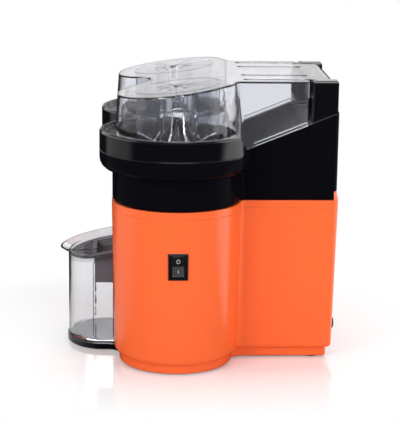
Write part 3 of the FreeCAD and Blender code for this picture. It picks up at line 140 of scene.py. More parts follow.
def abovePlane(tree, parts, look):
    # 0 below the plane whose height is level + slope times Y, 1 from fade above it
    plane = mathNode(tree, "ADD", mathNode(tree, "MULTIPLY", parts["Y"], look["slope"]), look["level"])
    return mathNode(tree, "DIVIDE", mathNode(tree, "SUBTRACT", parts["Z"], plane), look["fade"], True)


def makeMouldedSkin():
    # colour drift, soft waviness and fine grain of an injection moulding
    speckShare = 0.06
    tree, given, made = newGroup(
        "mouldedSkin",
        [("Tint", "NodeSocketColor", (0.5, 0.5, 0.5, 1)),
         ("Deep Tint", "NodeSocketColor", (0.4, 0.4, 0.4, 1)),
         ("Drift Scale", "NodeSocketFloat", 14.0),
         ("Wave Scale", "NodeSocketFloat", 70.0),
         ("Grain Scale", "NodeSocketFloat", 2600.0),
         ("Gloss", "NodeSocketFloat", 0.25),
         ("Gloss Spread", "NodeSocketFloat", 0.08),
         ("Grain Share", "NodeSocketFloat", 0.25)],
        [("Colour", "NodeSocketColor"), ("Roughness", "NodeSocketFloat"), ("Height", "NodeSocketFloat")])
    coords = objectCoords(tree)
    drift = noiseAt(tree, coords, given.outputs["Drift Scale"], 4.0, 0.55)
    wave = noiseAt(tree, coords, given.outputs["Wave Scale"], 1.0, 0.4)
    grain = noiseAt(tree, coords, given.outputs["Grain Scale"], 2.0, 0.6)
    colour = mixColour(tree, drift, given.outputs["Tint"], given.outputs["Deep Tint"])
    tree.links.new(colour, made.inputs["Colour"])
    swing = mathNode(tree, "SUBTRACT", drift, 0.5)
    swing = mathNode(tree, "MULTIPLY", swing, given.outputs["Gloss Spread"])
    speck = mathNode(tree, "MULTIPLY", mathNode(tree, "SUBTRACT", grain, 0.5), speckShare)
    rough = mathNode(tree, "ADD", mathNode(tree, "ADD", given.outputs["Gloss"], swing), speck, True)
    tree.links.new(rough, made.inputs["Roughness"])
    height = mathNode(tree, "ADD", wave, mathNode(tree, "MULTIPLY", grain, given.outputs["Grain Share"]))
    tree.links.new(height, made.inputs["Height"])
    return tree


def makeEdgeWearAndSheen():
    # rounded normals at hard corners, and a mask of where hands and cloths rub them; the plastics lighten
    # these edges, partly as wear and partly as a painted highlight
    look = {"flat": 0.985, "gain": 9.0, "patchFrom": 0.38, "patchGain": 4.0, "samples": 6}
    tree, given, made = newGroup(
        "edgeWearAndSheen",
        [("Radius", "NodeSocketFloat", 0.0008), ("Patch Scale", "NodeSocketFloat", 60.0)],
        [("Mask", "NodeSocketFloat"), ("Normal", "NodeSocketVector")])
    bevel = tree.nodes.new("ShaderNodeBevel")
    bevel.samples = look["samples"]
    tree.links.new(given.outputs["Radius"], bevel.inputs["Radius"])
    surface = tree.nodes.new("ShaderNodeNewGeometry")
    turned = dotNode(tree, bevel.outputs["Normal"], surface.outputs["Normal"])
    edge = mathNode(tree, "MULTIPLY", mathNode(tree, "SUBTRACT", look["flat"], turned), look["gain"], True)
    patch = noiseAt(tree, objectCoords(tree), given.outputs["Patch Scale"], 5.0, 0.65)
    patch = riseFrom(tree, patch, look["patchFrom"], look["patchGain"])
    tree.links.new(mathNode(tree, "MULTIPLY", edge, patch, True), made.inputs["Mask"])
    tree.links.new(bevel.outputs["Normal"], made.inputs["Normal"])
    return tree


def makeDustFilm():
    # a thin film that settles on faces that look upwards, in soft patches
    look = {"from": 0.45, "gain": 1.8, "cloudScale": 40.0}
    tree, given, made = newGroup(
        "dustFilm", [("Amount", "NodeSocketFloat", 0.1)], [("Mask", "NodeSocketFloat")])
    surface = tree.nodes.new("ShaderNodeNewGeometry")
    up = riseFrom(tree, splitVector(tree, surface.outputs["Normal"])["Z"], look["from"], look["gain"])
    cloud = noiseAt(tree, objectCoords(tree), look["cloudScale"], 6.0, 0.62)
    mask = mathNode(tree, "MULTIPLY", mathNode(tree, "MULTIPLY", up, cloud), given.outputs["Amount"], True)
    tree.links.new(mask, made.inputs["Mask"])
    return tree


mouldedSkin, edgeWearAndSheen, dustFilm = makeMouldedSkin(), makeEdgeWearAndSheen(), makeDustFilm()


def startMaterial(name, **values):
    material = bpy.data.materials.new(name)
    material.use_nodes = True
    tree = material.node_tree
    shader = tree.nodes["Principled BSDF"]
    for label, value in values.items():
        shader.inputs[label.replace("_", " ")].default_value = value
    return material, tree, shader


plasticDefaults = {
    "ior": 1.5, "specular": 0.5, "coat": 0.0, "coatGloss": 0.06, "spread": 0.1, "wave": 70.0,
    "grain": 2600.0, "grainShare": 0.2, "edge": 0.0007, "rub": 0.25, "rubGloss": 0.12, "bump": 0.12,
    "height": 0.0004, "dustTint": (0.62, 0.61, 0.58, 1),
}


def plasticMaterial(name, look):
    # moulded plastic: skin, rubbed edges that are lighter as wear and as a painted highlight, and a little
    # dust
    look = {**plasticDefaults, **look}
    material, tree, shader = startMaterial(
        name, IOR=look["ior"], Coat_Weight=look["coat"], Coat_Roughness=look["coatGloss"],
        Specular_IOR_Level=look["specular"])
    skin = useGroup(tree, mouldedSkin, Tint=look["tint"], Deep_Tint=look["deep"], Gloss=look["gloss"],
                    Gloss_Spread=look["spread"], Wave_Scale=look["wave"], Grain_Scale=look["grain"],
                    Grain_Share=look["grainShare"])
    rub = useGroup(tree, edgeWearAndSheen, Radius=look["edge"])
    dust = useGroup(tree, dustFilm, Amount=look["dust"])
    # partly wear, partly a painted highlight: the rubbed edges take the lighter worn colour
    wearAndSheen = mathNode(tree, "MULTIPLY", rub.outputs["Mask"], look["rub"])
    colour = mixColour(tree, wearAndSheen, skin.outputs["Colour"], look["wearSheenTint"])
    colour = mixColour(tree, dust.outputs["Mask"], colour, look["dustTint"])
    tree.links.new(colour, shader.inputs["Base Color"])
    dull = mathNode(tree, "MULTIPLY", rub.outputs["Mask"], look["rubGloss"])
    rough = mathNode(tree, "ADD", skin.outputs["Roughness"], dull, True)
    tree.links.new(mathNode(tree, "ADD", rough, dust.outputs["Mask"], True), shader.inputs["Roughness"])
    addBump(tree, shader, skin.outputs["Height"], rub.outputs["Normal"], look["bump"], look["height"])
    return material


clearDefaults = {"ior": 1.49, "height": 0.0006}


def clearMaterial(name, look):
    # clear moulding: a faint flow waviness and haze in the polish
    look = {**clearDefaults, **look}
    material, tree, shader = startMaterial(
        name, Base_Color=look["tint"], Transmission_Weight=look["clear"], IOR=look["ior"], Metallic=0.0)
    coords = objectCoords(tree)
    haze = noiseAt(tree, coords, look["hazeScale"], 5.0, 0.6)
    rough = mathNode(tree, "ADD", look["gloss"], mathNode(tree, "MULTIPLY", haze, look["haze"]), True)
    tree.links.new(rough, shader.inputs["Roughness"])
    flow = noiseAt(tree, coords, look["flowScale"], 1.5, 0.4)
    addBump(tree, shader, flow, None, look["flow"], look["height"])
    if "lip" in look:
        # painted shade: a darker tint above the lip's plane, in the thick lip
        over = abovePlane(tree, splitVector(tree, coords), look["lip"])
        colour = mixColour(tree, over, look["tint"], look["lip"]["tint"])
        tree.links.new(colour, shader.inputs["Base Color"])
    return material


metalDefaults = {
    "patchScale": 45.0, "lineShare": 0.18, "patchShare": 0.12, "edge": 0.0003, "bump": 0.15,
    "height": 0.00008,
}


def metalMaterial(name, look):
    # turned or drawn metal: fine lines along one axis, with duller patches
    look = {**metalDefaults, **look}
    material, tree, shader = startMaterial(name, Metallic=1.0)
    coords = objectCoords(tree)
    stretch = addNode(tree, "ShaderNodeMapping", Scale=look["lines"])
    tree.links.new(coords, stretch.inputs["Vector"])
    lines = noiseAt(tree, stretch.outputs["Vector"], 1.0, 3.0, 0.6)
    patch = noiseAt(tree, coords, look["patchScale"], 5.0, 0.6)
    tree.links.new(mixColour(tree, patch, look["tint"], look["deep"]), shader.inputs["Base Color"])
    rough = mathNode(tree, "ADD", look["gloss"], mathNode(tree, "MULTIPLY", lines, look["lineShare"]))
    rough = mathNode(tree, "ADD", rough, mathNode(tree, "MULTIPLY", patch, look["patchShare"]), True)
    tree.links.new(rough, shader.inputs["Roughness"])
    rub = useGroup(tree, edgeWearAndSheen, Radius=look["edge"])
    addBump(tree, shader, lines, rub.outputs["Normal"], look["bump"], look["height"])
    return material


deepBlack = {
    "tint": (0.0036, 0.0034, 0.0052, 1), "deep": (0.0026, 0.0024, 0.0038, 1),
    "wearSheenTint": (0.03, 0.03, 0.034, 1),
}
plasticLooks = {
    "orangeGloss": {
        "tint": (0.97, 0.150, 0.034, 1), "deep": (0.94, 0.134, 0.029, 1), "wearSheenTint": (0.96, 0.24, 0.09, 1),
        "gloss": 0.24, "coat": 0.25, "dust": 0.03, "edge": 0.0009},
    "blackGloss": {**deepBlack, "gloss": 0.12, "coat": 0.3, "dust": 0.02, "edge": 0.0006, "bump": 0.08},
    "blackBlock": {**deepBlack, "gloss": 0.16, "coat": 1.0, "dust": 0.02, "edge": 0.0024, "bump": 0.06},
    "blackDeck": {
        "tint": (0.0038, 0.0036, 0.0056, 1), "deep": (0.0028, 0.0026, 0.0042, 1),
        "wearSheenTint": (0.03, 0.03, 0.034, 1), "gloss": 0.11, "spread": 0.04, "specular": 0.012, "dust": 0.0,
        "edge": 0.0008, "bump": 0.06},
    "reamerBlack": {
        "tint": (0.016, 0.017, 0.020, 1), "deep": (0.010, 0.010, 0.013, 1), "wearSheenTint": (0.06, 0.06, 0.065, 1),
        "gloss": 0.34, "specular": 0.35, "dust": 0.0, "edge": 0.0006},
    "sieveGrey": {
        "tint": (0.215, 0.215, 0.245, 1), "deep": (0.175, 0.175, 0.203, 1), "wearSheenTint": (0.32, 0.32, 0.34, 1),
        "gloss": 0.36, "dust": 0.05, "edge": 0.0005, "grainShare": 0.5, "bump": 0.2},
    "rockerGloss": {
        "tint": (0.011, 0.011, 0.012, 1), "deep": (0.007, 0.007, 0.008, 1), "wearSheenTint": (0.08, 0.08, 0.085, 1),
        "gloss": 0.20, "coat": 0.5, "dust": 0.0, "edge": 0.0008, "bump": 0.1},
    "switchSatin": {
        "tint": (0.0055, 0.0050, 0.0052, 1), "deep": (0.004, 0.0036, 0.0038, 1),
        "wearSheenTint": (0.05, 0.05, 0.052, 1), "gloss": 0.30, "dust": 0.0, "edge": 0.0010, "grain": 4200.0,
        "grainShare": 0.9, "bump": 0.25},
    "markWhite": {
        "tint": (0.78, 0.78, 0.76, 1), "deep": (0.70, 0.70, 0.68, 1), "wearSheenTint": (0.5, 0.5, 0.49, 1),
        "gloss": 0.5, "dust": 0.0, "edge": 0.0001},
    "nylonWhite": {
        "tint": (0.70, 0.69, 0.62, 1), "deep": (0.61, 0.60, 0.53, 1), "wearSheenTint": (0.80, 0.79, 0.73, 1),
        "gloss": 0.42, "dust": 0.0, "edge": 0.0004},
    "rubberBlack": {
        "tint": (0.016, 0.016, 0.016, 1), "deep": (0.011, 0.011, 0.011, 1), "wearSheenTint": (0.06, 0.06, 0.06, 1),
        "gloss": 0.72, "dust": 0.1, "edge": 0.0006, "grain": 1800.0, "grainShare": 1.0, "bump": 0.4},
}
clearLooks = {
    "lidClear": {
        "tint": (0.915, 0.92, 0.955, 1), "clear": 0.985, "gloss": 0.015, "haze": 0.05, "hazeScale": 60.0,
        "flowScale": 38.0, "flow": 0.10},
    "presserClear": {
        "tint": (0.89, 0.90, 0.94, 1), "clear": 0.94, "gloss": 0.03, "haze": 0.08, "hazeScale": 90.0,
        "flowScale": 55.0, "flow": 0.12},
    "cupClear": {
        "tint": (0.96, 0.965, 0.985, 1), "clear": 0.985, "gloss": 0.012, "haze": 0.04, "hazeScale": 50.0,
        "flowScale": 30.0, "flow": 0.08,
        # painted shade: the darker tint of the cup's lip
        "lip": {"tint": (0.72, 0.71, 0.74, 1), "slope": 0.195, "level": 0.1270, "fade": 0.003}},
    "ridgeClear": {
        "tint": (0.50, 0.50, 0.55, 1), "clear": 0.95, "gloss": 0.03, "haze": 0.05, "hazeScale": 80.0,
        "flowScale": 40.0, "flow": 0.05},
    # painted shade: a dark tint, so that the cup's ribs show as dark lines
    "ribShadeClear": {
        "tint": (0.20, 0.18, 0.21, 1), "clear": 0.9, "gloss": 0.03, "haze": 0.05, "hazeScale": 80.0,
        "flowScale": 40.0, "flow": 0.05},
    # painted highlight: a whitish, mostly opaque finish for the bright flange edges of the lid's arm
    "highlightClear": {
        "tint": (0.93, 0.94, 0.98, 1), "clear": 0.35, "gloss": 0.10, "haze": 0.08, "hazeScale": 80.0,
        "flowScale": 40.0, "flow": 0.05},
}
metalLooks = {
    "turnedSteel": {
        "tint": (0.56, 0.56, 0.57, 1), "deep": (0.46, 0.46, 0.47, 1), "gloss": 0.2,
        "lines": (60, 60, 4500)},
    "sinteredBronze": {
        "tint": (0.52, 0.30, 0.13, 1), "deep": (0.40, 0.22, 0.09, 1), "gloss": 0.4,
        "lines": (900, 900, 900)},
}
finishes = {}
for makeMaterial, looks in (
        (plasticMaterial, plasticLooks), (clearMaterial, clearLooks), (metalMaterial, metalLooks)):
    for name, look in looks.items():
        finishes[name] = makeMaterial(name, look)

sieveSlotShade = {
    # painted shade: dark bands between the slots, on the plate only: slope, level and fade say where its
    # top is
    "slope": 0.195, "level": 0.13392, "fade": 0.0003, "pitch": 0.0088, "share": 0.30, "steep": 6.0,
    "tint": (0.008, 0.008, 0.009, 1), "bump": 0.8, "height": 0.0006,
}


def addSlotShade(material, slots):
    # painted shade: dark where a wave across X, cos(2 pi X / pitch) + share, is above zero
    tree = material.node_tree
    shader = tree.nodes["Principled BSDF"]
    parts = splitVector(tree, objectCoords(tree))
    over = abovePlane(tree, parts, slots)
    wave = mathNode(tree, "COSINE", mathNode(tree, "MULTIPLY", parts["X"], 2 * math.pi / slots["pitch"]))
    slotShade = mathNode(tree, "MULTIPLY", mathNode(tree, "ADD", wave, slots["share"]), slots["steep"], True)
    mask = mathNode(tree, "MULTIPLY", over, slotShade, True)
    base = shader.inputs["Base Color"].links[0].from_socket
    tree.links.new(mixColour(tree, mask, base, slots["tint"]), shader.inputs["Base Color"])
    normal = shader.inputs["Normal"].links[0].from_socket
    addBump(tree, shader, mathNode(tree, "SUBTRACT", 1.0, mask), normal, slots["bump"], slots["height"])


addSlotShade(finishes["sieveGrey"], sieveSlotShade)

nodeFinish = {
    "orangeGloss": ("lower_housing", "base_plate", "trim_ring"),
    "blackGloss": ("juice_bowl", "cup_tray", "juice_spout"),
    "blackBlock": ("hinge_block_right", "hinge_block_left"),
    "blackDeck": ("upper_housing", "pulp_strainer_right", "pulp_strainer_left"),
    "reamerBlack": ("reamer_right", "reamer_left"),
    "sieveGrey": ("cup_strainer",),
    "switchSatin": ("switch_body",),
    "rockerGloss": ("switch_rocker",),
    "nylonWhite": ("gear_plate", "gear_cover", "cluster_gear", "output_gear_right", "output_gear_left"),
    "rubberBlack": ("rubber_feet", "shaft_seals", "cord_gland"),
    "lidClear": ("lid",),
    "presserClear": ("presser_right", "presser_left"),
    "cupClear": ("juice_cup",),
    "turnedSteel": (
        "motor_body", "motor_shaft", "gear_axle", "drive_shaft_right", "drive_shaft_left", "hinge_pins",
        "base_screws", "gearbox_screws", "motor_screws", "presser_screws"),
    "sinteredBronze": ("shaft_bushes",),
}
for finish, names in nodeFinish.items():
    for name in names:
        slots = nodes[name].data.materials
        for i in range(len(slots)):
            slots[i] = finishes[finish]
finished = [name for names in nodeFinish.values() for name in names]
print("finishes on", len(finished), "nodes; left over:", sorted(set(nodes) - set(finished)))


def addPiece(name, mesh, finish):
    mesh.materials.append(finish)
    piece = bpy.data.objects.new(name, mesh)
    bpy.context.scene.collection.objects.link(piece)
    return piece


def surfaceFrom(name, points, closeAround, closeAlong, finish, caps=False):
    # quads over a grid of points, rows by columns, joined at the ends where it closes
    rows, columns = points.shape[:2]
    index = np.arange(rows * columns).reshape(rows, columns)
    if closeAlong:
        index = np.vstack([index, index[:1]])
    if closeAround:
        index = np.hstack([index, index[:, :1]])
    quads = np.stack([index[:-1, :-1], index[1:, :-1], index[1:, 1:], index[:-1, 1:]], -1).reshape(-1, 4)
    faces = quads.tolist()
    if caps:
        faces += [list(range(columns)), list(range((rows - 1) * columns, rows * columns))]
    mesh = bpy.data.meshes.new(name)
    mesh.from_pydata(points.reshape(-1, 3).tolist(), [], faces)
    mesh.polygons.foreach_set("use_smooth", np.ones(len(faces), bool))
    return addPiece(name, mesh, finish)


def faceOutwards(piece):
    bpy.context.view_layer.objects.active = piece
    piece.select_set(True)
    bpy.ops.object.mode_set(mode="EDIT")
    bpy.ops.mesh.select_all(action="SELECT")
    bpy.ops.mesh.normals_make_consistent(inside=False)
    bpy.ops.object.mode_set(mode="OBJECT")
    piece.select_set(False)


clearPieces = {
    # node: body and finish
    "lid": ("lid", "lidClear"),
    "presser_right": ("lid", "presserClear"),
    "presser_left": ("lid", "presserClear"),
    "juice_cup": ("cup", "cupClear"),
}
sharpFrom = math.radians(25.0)  # edges that turn by more than this stay sharp


def joinedCopy(name, body, finish):
    # the CAD node's loose triangles joined at equal corners, so that light passes thin walls as it should
    source = nodes[name].data
    points = np.empty(len(source.vertices) * 3)
    source.vertices.foreach_get("co", points)
    corners = np.empty(len(source.loops), int)
    source.loops.foreach_get("vertex_index", corners)
    points, index = np.unique(points.reshape(-1, 3), axis=0, return_inverse=True)
    faces = index.reshape(-1)[corners].reshape(-1, 3)
    first, second, third = faces.T
    faces = faces[(first != second) & (second != third) & (third != first)]
    mesh = bpy.data.meshes.new(name + "_clear")
    mesh.from_pydata(points.tolist(), [], faces.tolist())
    mesh.shade_smooth()
    mesh.set_sharp_from_angle(angle=sharpFrom)
    piece = addPiece(name + "_clear", mesh, finish)
    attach(piece, body)
    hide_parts(name)


for name, (body, finish) in clearPieces.items():
    joinedCopy(name, body, finishes[finish])
print("clear pieces joined:", len(clearPieces))

barSides = 14
bothSides = ((1, "right"), (-1, "left"))


def roundBar(name, path, radius, finish, body):
    # a bar along a path: each ring of points is centre + radius (cos a side + sin a other)
    along = np.gradient(path, axis=0)
    along /= np.linalg.norm(along, axis=1)[:, None]
    isLevel = abs(along[:, 2]).max() < 0.9
    upright = np.array([0.0, 0.0, 1.0] if isLevel else [0.0, 1.0, 0.0])
    side = np.cross(along, upright)
    side /= np.linalg.norm(side, axis=1)[:, None]
    other = np.cross(side, along)
    turn = np.linspace(0, 2 * math.pi, barSides, endpoint=False)[None, :, None]
    points = path[:, None] + radius * (np.cos(turn) * side[:, None] + np.sin(turn) * other[:, None])
    piece = surfaceFrom(name, points, True, False, finish, True)
    faceOutwards(piece)
    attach(piece, body)


rimBead = {
    # a bead in the groove between the bowl and the rim, round each lobe; angles in degrees
    "headX": 0.080, "radius": 0.08700, "height": 0.24692, "bar": 0.00047, "from": -156.0, "to": 44.0,
    "steps": 121,
}
sweep = np.radians(np.linspace(rimBead["from"], rimBead["to"], rimBead["steps"]))
for side, word in bothSides:
    across = side * (rimBead["headX"] + rimBead["radius"] * np.cos(sweep))
    lengthways = rimBead["radius"] * np.sin(sweep) - depthShift
    path = np.stack([across, lengthways, np.full(len(sweep), rimBead["height"])], -1)
    roundBar("rim_bead_" + word, path, rimBead["bar"], finishes["blackGloss"], "machine")

cupRibs = {
    # upright ribs inside the cup's wall, which grows by grow over its height tall; its nose is a quarter
    # ellipse that starts at noseStart
    "half": 0.0425, "grow": 0.0016, "tall": 0.115, "sink": 0.0003, "noseStart": 0.0815, "nose": 0.0425,
    "bar": 0.00045, "low": 0.0135, "high": 0.104, "steps": 14, "at": (-0.0956, -0.0726),
}
heights = np.linspace(cupRibs["low"], cupRibs["high"], cupRibs["steps"])
halves = cupRibs["half"] + cupRibs["grow"] * heights / cupRibs["tall"] - cupRibs["sink"]
for number, y in enumerate(cupRibs["at"], 1):
    share = max(0.0, -y - cupRibs["noseStart"]) / cupRibs["nose"]
    for side, word in bothSides:
        across = side * halves * math.sqrt(1 - share ** 2)
        path = np.stack([across, np.full(len(heights), y - depthShift), heights], -1)
        name = "cup_rib_%s_%d" % (word, number)
        # painted shade: the ribs take the dark-tinted clear finish and show as dark lines
        roundBar(name, path, cupRibs["bar"], finishes["ribShadeClear"], "cup")

armSteps = 12


def armBars(stem, number, half, lengthways, heights, bar, finish):
    # a bar along the lid's arm on each side, at half from the middle
    for side, word in bothSides:
        path = np.stack([np.full(armSteps, side * half), lengthways - depthShift, heights], -1)
        roundBar("%s_%s_%d" % (stem, word, number), path, bar, finishes[finish], "lid")


lidRidges = {
    # low ridges along the roof of the lid's arm
    "at": (0.071, 0.036), "from": 0.074, "to": 0.150, "height": 0.32380, "bar": 0.00090,
}
lengthways = np.linspace(lidRidges["from"], lidRidges["to"], armSteps)
heights = np.full(armSteps, lidRidges["height"])
for number, half in enumerate(lidRidges["at"], 1):
    armBars("lid_ridge", number, half, lengthways, heights, lidRidges["bar"], "ridgeClear")

lidHighlights = {
    # painted highlight: whitish, mostly opaque bars on the bright edges of the arm's side flanges, at
    # these heights above the deck, which is at deck + rise (Y - start)
    "half": 0.0886, "from": 0.086, "to": 0.145, "start": 0.079, "deck": 0.247, "rise": 0.405,
    "at": (0.0047, 0.0011), "bar": 0.00055,
}
lengthways = np.linspace(lidHighlights["from"], lidHighlights["to"], armSteps)
heights = lidHighlights["deck"] + lidHighlights["rise"] * (lengthways - lidHighlights["start"])
for number, over in enumerate(lidHighlights["at"], 1):
    armBars("lid_lip", number, lidHighlights["half"], lengthways, heights + over, lidHighlights["bar"], "highlightClear")
print("bead, ribs, ridges and lips made")

rockerMarks = {
    # the marks on the rocker, slightly proud of its two faces
    "pivot": (0.14766587, -depthShift, 0.128), "tilt": math.radians(-9.0),
    "crest": 0.0084, "dip": 0.0022, "reach": 0.0111, "lift": 0.00008,
    "ringRadius": 0.00180, "ringStretch": 1.15, "lineRadius": 0.00022, "barHalf": 0.0017, "at": 0.0056,
    "ringSteps": 40, "barSteps": 12, "acrossSteps": 7,
}


def rockerPoint(m, y, z):
    # a point on the rocker: height over a face that falls from crest at its end to the middle, then tilted
    face = m["crest"] - m["dip"] * (1 - np.abs(z) / m["reach"]) + m["lift"]
    c, s = math.cos(m["tilt"]), math.sin(m["tilt"])
    pivotX, pivotY, pivotZ = m["pivot"]
    return np.stack([pivotX + c * face + s * z, pivotY + y, pivotZ - s * face + c * z], -1)


def raisedLine(name, m, alongY, alongZ, closed):
    # a low half-round ridge: across the line, the height is a half circle flattened to a third
    if closed:
        outY, outZ = alongY, alongZ - alongZ.mean()
    else:
        outY, outZ = -np.gradient(alongZ), np.gradient(alongY)
    length = np.hypot(outY, outZ)
    outY, outZ = (outY / length)[:, None], (outZ / length)[:, None]
    steps = np.linspace(0, math.pi, m["acrossSteps"])
    across = m["lineRadius"] * np.cos(steps)
    base = rockerPoint(m, alongY[:, None] + outY * across, alongZ[:, None] + outZ * across)
    base[..., 0] += m["lineRadius"] / 3 * np.sin(steps)
    piece = surfaceFrom(name, base, False, closed, finishes["markWhite"])
    faceOutwards(piece)
    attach(piece, "rocker")


turn = np.linspace(0, 2 * math.pi, rockerMarks["ringSteps"], endpoint=False)
ringY = rockerMarks["ringRadius"] * np.cos(turn)
ringZ = rockerMarks["at"] + rockerMarks["ringStretch"] * rockerMarks["ringRadius"] * np.sin(turn)
raisedLine("rocker_mark_off", rockerMarks, ringY, ringZ, True)
bar = np.linspace(-rockerMarks["barHalf"], rockerMarks["barHalf"], rockerMarks["barSteps"])
raisedLine("rocker_mark_on", rockerMarks, np.zeros(len(bar)), bar - rockerMarks["at"], False)
print("rocker marks made")

studioBoxes = {
    # what polished surfaces mirror: azimuth and half width in degrees, lowest and highest as the height of
    # a unit direction, softness of the edges, strength
    "frontPanel": (-95.0, 32.0, -0.30, 0.75, 0.20, 0.42),
    "rearPanel": (104.0, 44.0, -0.30, 0.75, 0.22, 1.30),
    "wall": (0.0, 200.0, 0.02, 0.50, 0.05, 0.90),
    "blackFlag": (186.5, 9.5, 0.150, 0.290, 0.02, -0.89),
    "key": (0.0, 40.0, 0.68, 0.98, 0.06, 6.0),
    "ceiling": (0.0, 200.0, 0.62, 1.50, 0.20, 0.60),
}
studioBase = 0.012
studioLeast = 0.004


def addBox(tree, direction, height, box):
    # strength times a ramp on each side:
    # half width - |angle from the middle|, height - lowest, highest - height
    azimuth, half, low, high, soft, strength = box
    turn = math.radians(azimuth)
    sideways = dotNode(tree, direction, (-math.sin(turn), math.cos(turn), 0))
    ahead = dotNode(tree, direction, (math.cos(turn), math.sin(turn), 0))
    angle = mathNode(tree, "ABSOLUTE", mathNode(tree, "ARCTAN2", sideways, ahead))
    share = None
    for distance in (
            mathNode(tree, "SUBTRACT", math.radians(half), angle),
            mathNode(tree, "SUBTRACT", height, low),
            mathNode(tree, "SUBTRACT", high, height)):
        ramp = mathNode(tree, "DIVIDE", distance, soft, True)
        share = ramp if share is None else mathNode(tree, "MULTIPLY", share, ramp)
    return mathNode(tree, "MULTIPLY", share, strength)


def makeStudioGlow():
    # how bright the studio is in a direction, for surfaces that mirror it
    tree, given, made = newGroup(
        "studioGlow", [("Direction", "NodeSocketVector", (0, 0, 1))], [("Glow", "NodeSocketFloat")])
    unit = tree.nodes.new("ShaderNodeVectorMath")
    unit.operation = "NORMALIZE"
    tree.links.new(given.outputs["Direction"], unit.inputs[0])
    direction = unit.outputs["Vector"]
    height = splitVector(tree, direction)["Z"]
    glow = studioBase
    for box in studioBoxes.values():
        glow = mathNode(tree, "ADD", glow, addBox(tree, direction, height, box))
    tree.links.new(mathNode(tree, "MAXIMUM", glow, studioLeast), made.inputs["Glow"])
    return tree


studioGlow = makeStudioGlow()


def rayKinds(tree):
    # direct: from the camera, also through clear parts, with no mirror on the way
    # mirrored: after a mirror
    path = tree.nodes.new("ShaderNodeLightPath")
    mirrors = mathNode(tree, "GREATER_THAN", path.outputs["Glossy Depth"], 0.5)
    unmirrored = mathNode(tree, "SUBTRACT", 1.0, mirrors)
    through = mathNode(tree, "MULTIPLY", path.outputs["Is Transmission Ray"], unmirrored)
    direct = mathNode(tree, "MAXIMUM", path.outputs["Is Camera Ray"], through)
    return direct, mathNode(tree, "MULTIPLY", path.outputs["Is Glossy Ray"], mirrors)


def layShaders(tree, shader, layers, output):
    for share, other in layers:
        mix = tree.nodes.new("ShaderNodeMixShader")
        tree.links.new(share, mix.inputs[0])
        tree.links.new(shader, mix.inputs[1])
        tree.links.new(other, mix.inputs[2])
        shader = mix.outputs[0]
    tree.links.new(shader, tree.nodes[output].inputs["Surface"])


floorLook = {
    # plain white has the share least within the foot, a box of this half size, and gains fade for each
    # metre further out
    "size": 14.0, "tint": (0.94, 0.94, 0.94, 1), "gloss": 0.08, "ior": 1.8, "coat": 1.0,
    "foot": (0.12, 0.14, 0.0), "least": 0.18, "fade": 5.5,
}


def distanceToFoot(tree, coords):
    # length of max(|place| - foot, 0)
    distance = coords
    for operation, vector in (
            ("ABSOLUTE", None), ("SUBTRACT", floorLook["foot"]), ("MAXIMUM", (0.0, 0.0, 0.0)),
            ("LENGTH", None)):
        step = tree.nodes.new("ShaderNodeVectorMath")
        step.operation = operation
        tree.links.new(distance, step.inputs[0])
        if vector is not None:
            step.inputs[1].default_value = vector
        distance = step.outputs["Value" if operation == "LENGTH" else "Vector"]
    return distance


def makeStage():
    size = floorLook["size"]
    mesh = bpy.data.meshes.new("floor")
    corners = [(-size, -size, 0), (size, -size, 0), (size, size, 0), (-size, size, 0)]
    mesh.from_pydata(corners, [], [(0, 1, 2, 3)])
    material, tree, shader = startMaterial(
        "paleFloor", Base_Color=floorLook["tint"], Roughness=floorLook["gloss"], IOR=floorLook["ior"],
        Coat_Weight=floorLook["coat"], Coat_Roughness=floorLook["gloss"])
    floor = addPiece("floor", mesh, material)
    white = addNode(tree, "ShaderNodeEmission", Strength=1.0)
    studio = tree.nodes.new("ShaderNodeEmission")
    coords = objectCoords(tree)
    glow = useGroup(tree, studioGlow)
    tree.links.new(coords, glow.inputs["Direction"])
    tree.links.new(glow.outputs["Glow"], studio.inputs["Strength"])
    further = mathNode(tree, "MULTIPLY", distanceToFoot(tree, coords), floorLook["fade"])
    share = mathNode(tree, "ADD", further, floorLook["least"], True)
    direct, mirrored = rayKinds(tree)
    whiteShare = mathNode(tree, "MULTIPLY", direct, share)
    layers = ((whiteShare, white.outputs[0]), (mirrored, studio.outputs[0]))
    layShaders(tree, shader.outputs[0], layers, "Material Output")


evenLight = 0.55


def makeWorld():
    # even light for diffuse surfaces, the studio for mirrored rays, white where it is seen directly
    world = bpy.data.worlds.new("studio")
    world.use_nodes = True
    bpy.context.scene.world = world
    tree = world.node_tree
    even = tree.nodes["Background"]
    even.inputs["Color"].default_value = (1, 1, 1, 1)
    even.inputs["Strength"].default_value = evenLight
    studio = addNode(tree, "ShaderNodeBackground", Color=(1, 1, 1, 1))
    white = addNode(tree, "ShaderNodeBackground", Color=(1, 1, 1, 1), Strength=1.0)
    glow = useGroup(tree, studioGlow)
    tree.links.new(tree.nodes.new("ShaderNodeTexCoord").outputs["Generated"], glow.inputs["Direction"])
    tree.links.new(glow.outputs["Glow"], studio.inputs["Strength"])
    direct, mirrored = rayKinds(tree)
    layers = ((mirrored, studio.outputs[0]), (direct, white.outputs[0]))
    layShaders(tree, even.outputs[0], layers, "World Output")


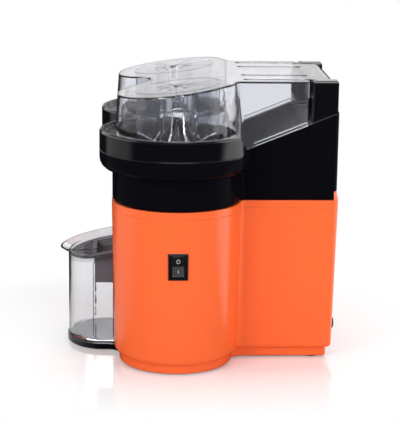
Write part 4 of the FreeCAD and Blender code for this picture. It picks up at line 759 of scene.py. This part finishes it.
lamps = {
    # name: place, point it faces, width, height, watts
    "keySoftbox": ((1.35, -1.25, 1.15), (0.05, 0.0, 0.17), 0.9, 1.2, 17.0),
    "fillSoftbox": ((1.5, 1.35, 0.9), (0.05, 0.05, 0.17), 0.8, 1.2, 14.0),
    "topSoftbox": ((0.0, 0.1, 1.9), (0.0, 0.0, 0.2), 1.4, 1.4, 14.0),
    "rearSoftbox": ((-1.5, 0.3, 1.1), (0.0, 0.0, 0.25), 1.2, 1.0, 9.0),
}


def makeLamps():
    for name, (place, target, wide, high, watts) in lamps.items():
        data = bpy.data.lights.new(name, "AREA")
        data.shape = "RECTANGLE"
        data.size, data.size_y, data.energy = wide, high, watts
        lamp = bpy.data.objects.new(name, data)
        lamp.location = place
        lamp.rotation_euler = (Vector(target) - Vector(place)).to_track_quat("-Z", "Y").to_euler()
        lamp.visible_glossy = False
        bpy.context.scene.collection.objects.link(lamp)


view = {
    # found from the outlines in the picture; angles in degrees, lens in mm for a long side of sensor
    "place": (1.735, -0.0519 - depthShift, 0.5651), "yaw": -2.715, "down": 13.306, "roll": 0.726,
    "lens": 127.08, "sensor": 36.0, "nearest": 0.05, "furthest": 60.0,
}


def makeCamera():
    yaw, down, roll = (math.radians(view[k]) for k in ("yaw", "down", "roll"))
    ahead = Vector((-math.cos(yaw), -math.sin(yaw), 0))
    right = Vector((-math.sin(yaw), math.cos(yaw), 0))
    up = Vector((0, 0, 1))
    look = math.cos(down) * ahead - math.sin(down) * up
    top = math.sin(down) * ahead + math.cos(down) * up
    side = math.cos(roll) * right + math.sin(roll) * top
    top = math.cos(roll) * top - math.sin(roll) * right
    data = bpy.data.cameras.new("camera")
    data.sensor_fit, data.sensor_width, data.lens = "AUTO", view["sensor"], view["lens"]
    data.clip_start, data.clip_end = view["nearest"], view["furthest"]
    camera = bpy.data.objects.new("camera", data)
    turnTo = Matrix((side, top, -look)).transposed().to_4x4()
    camera.matrix_world = Matrix.Translation(view["place"]) @ turnTo
    bpy.context.scene.collection.objects.link(camera)
    bpy.context.scene.camera = camera


makeStage()
makeWorld()
makeLamps()
makeCamera()
bpy.context.scene.view_settings.view_transform = "Standard"
print("stage, lamps and camera made")
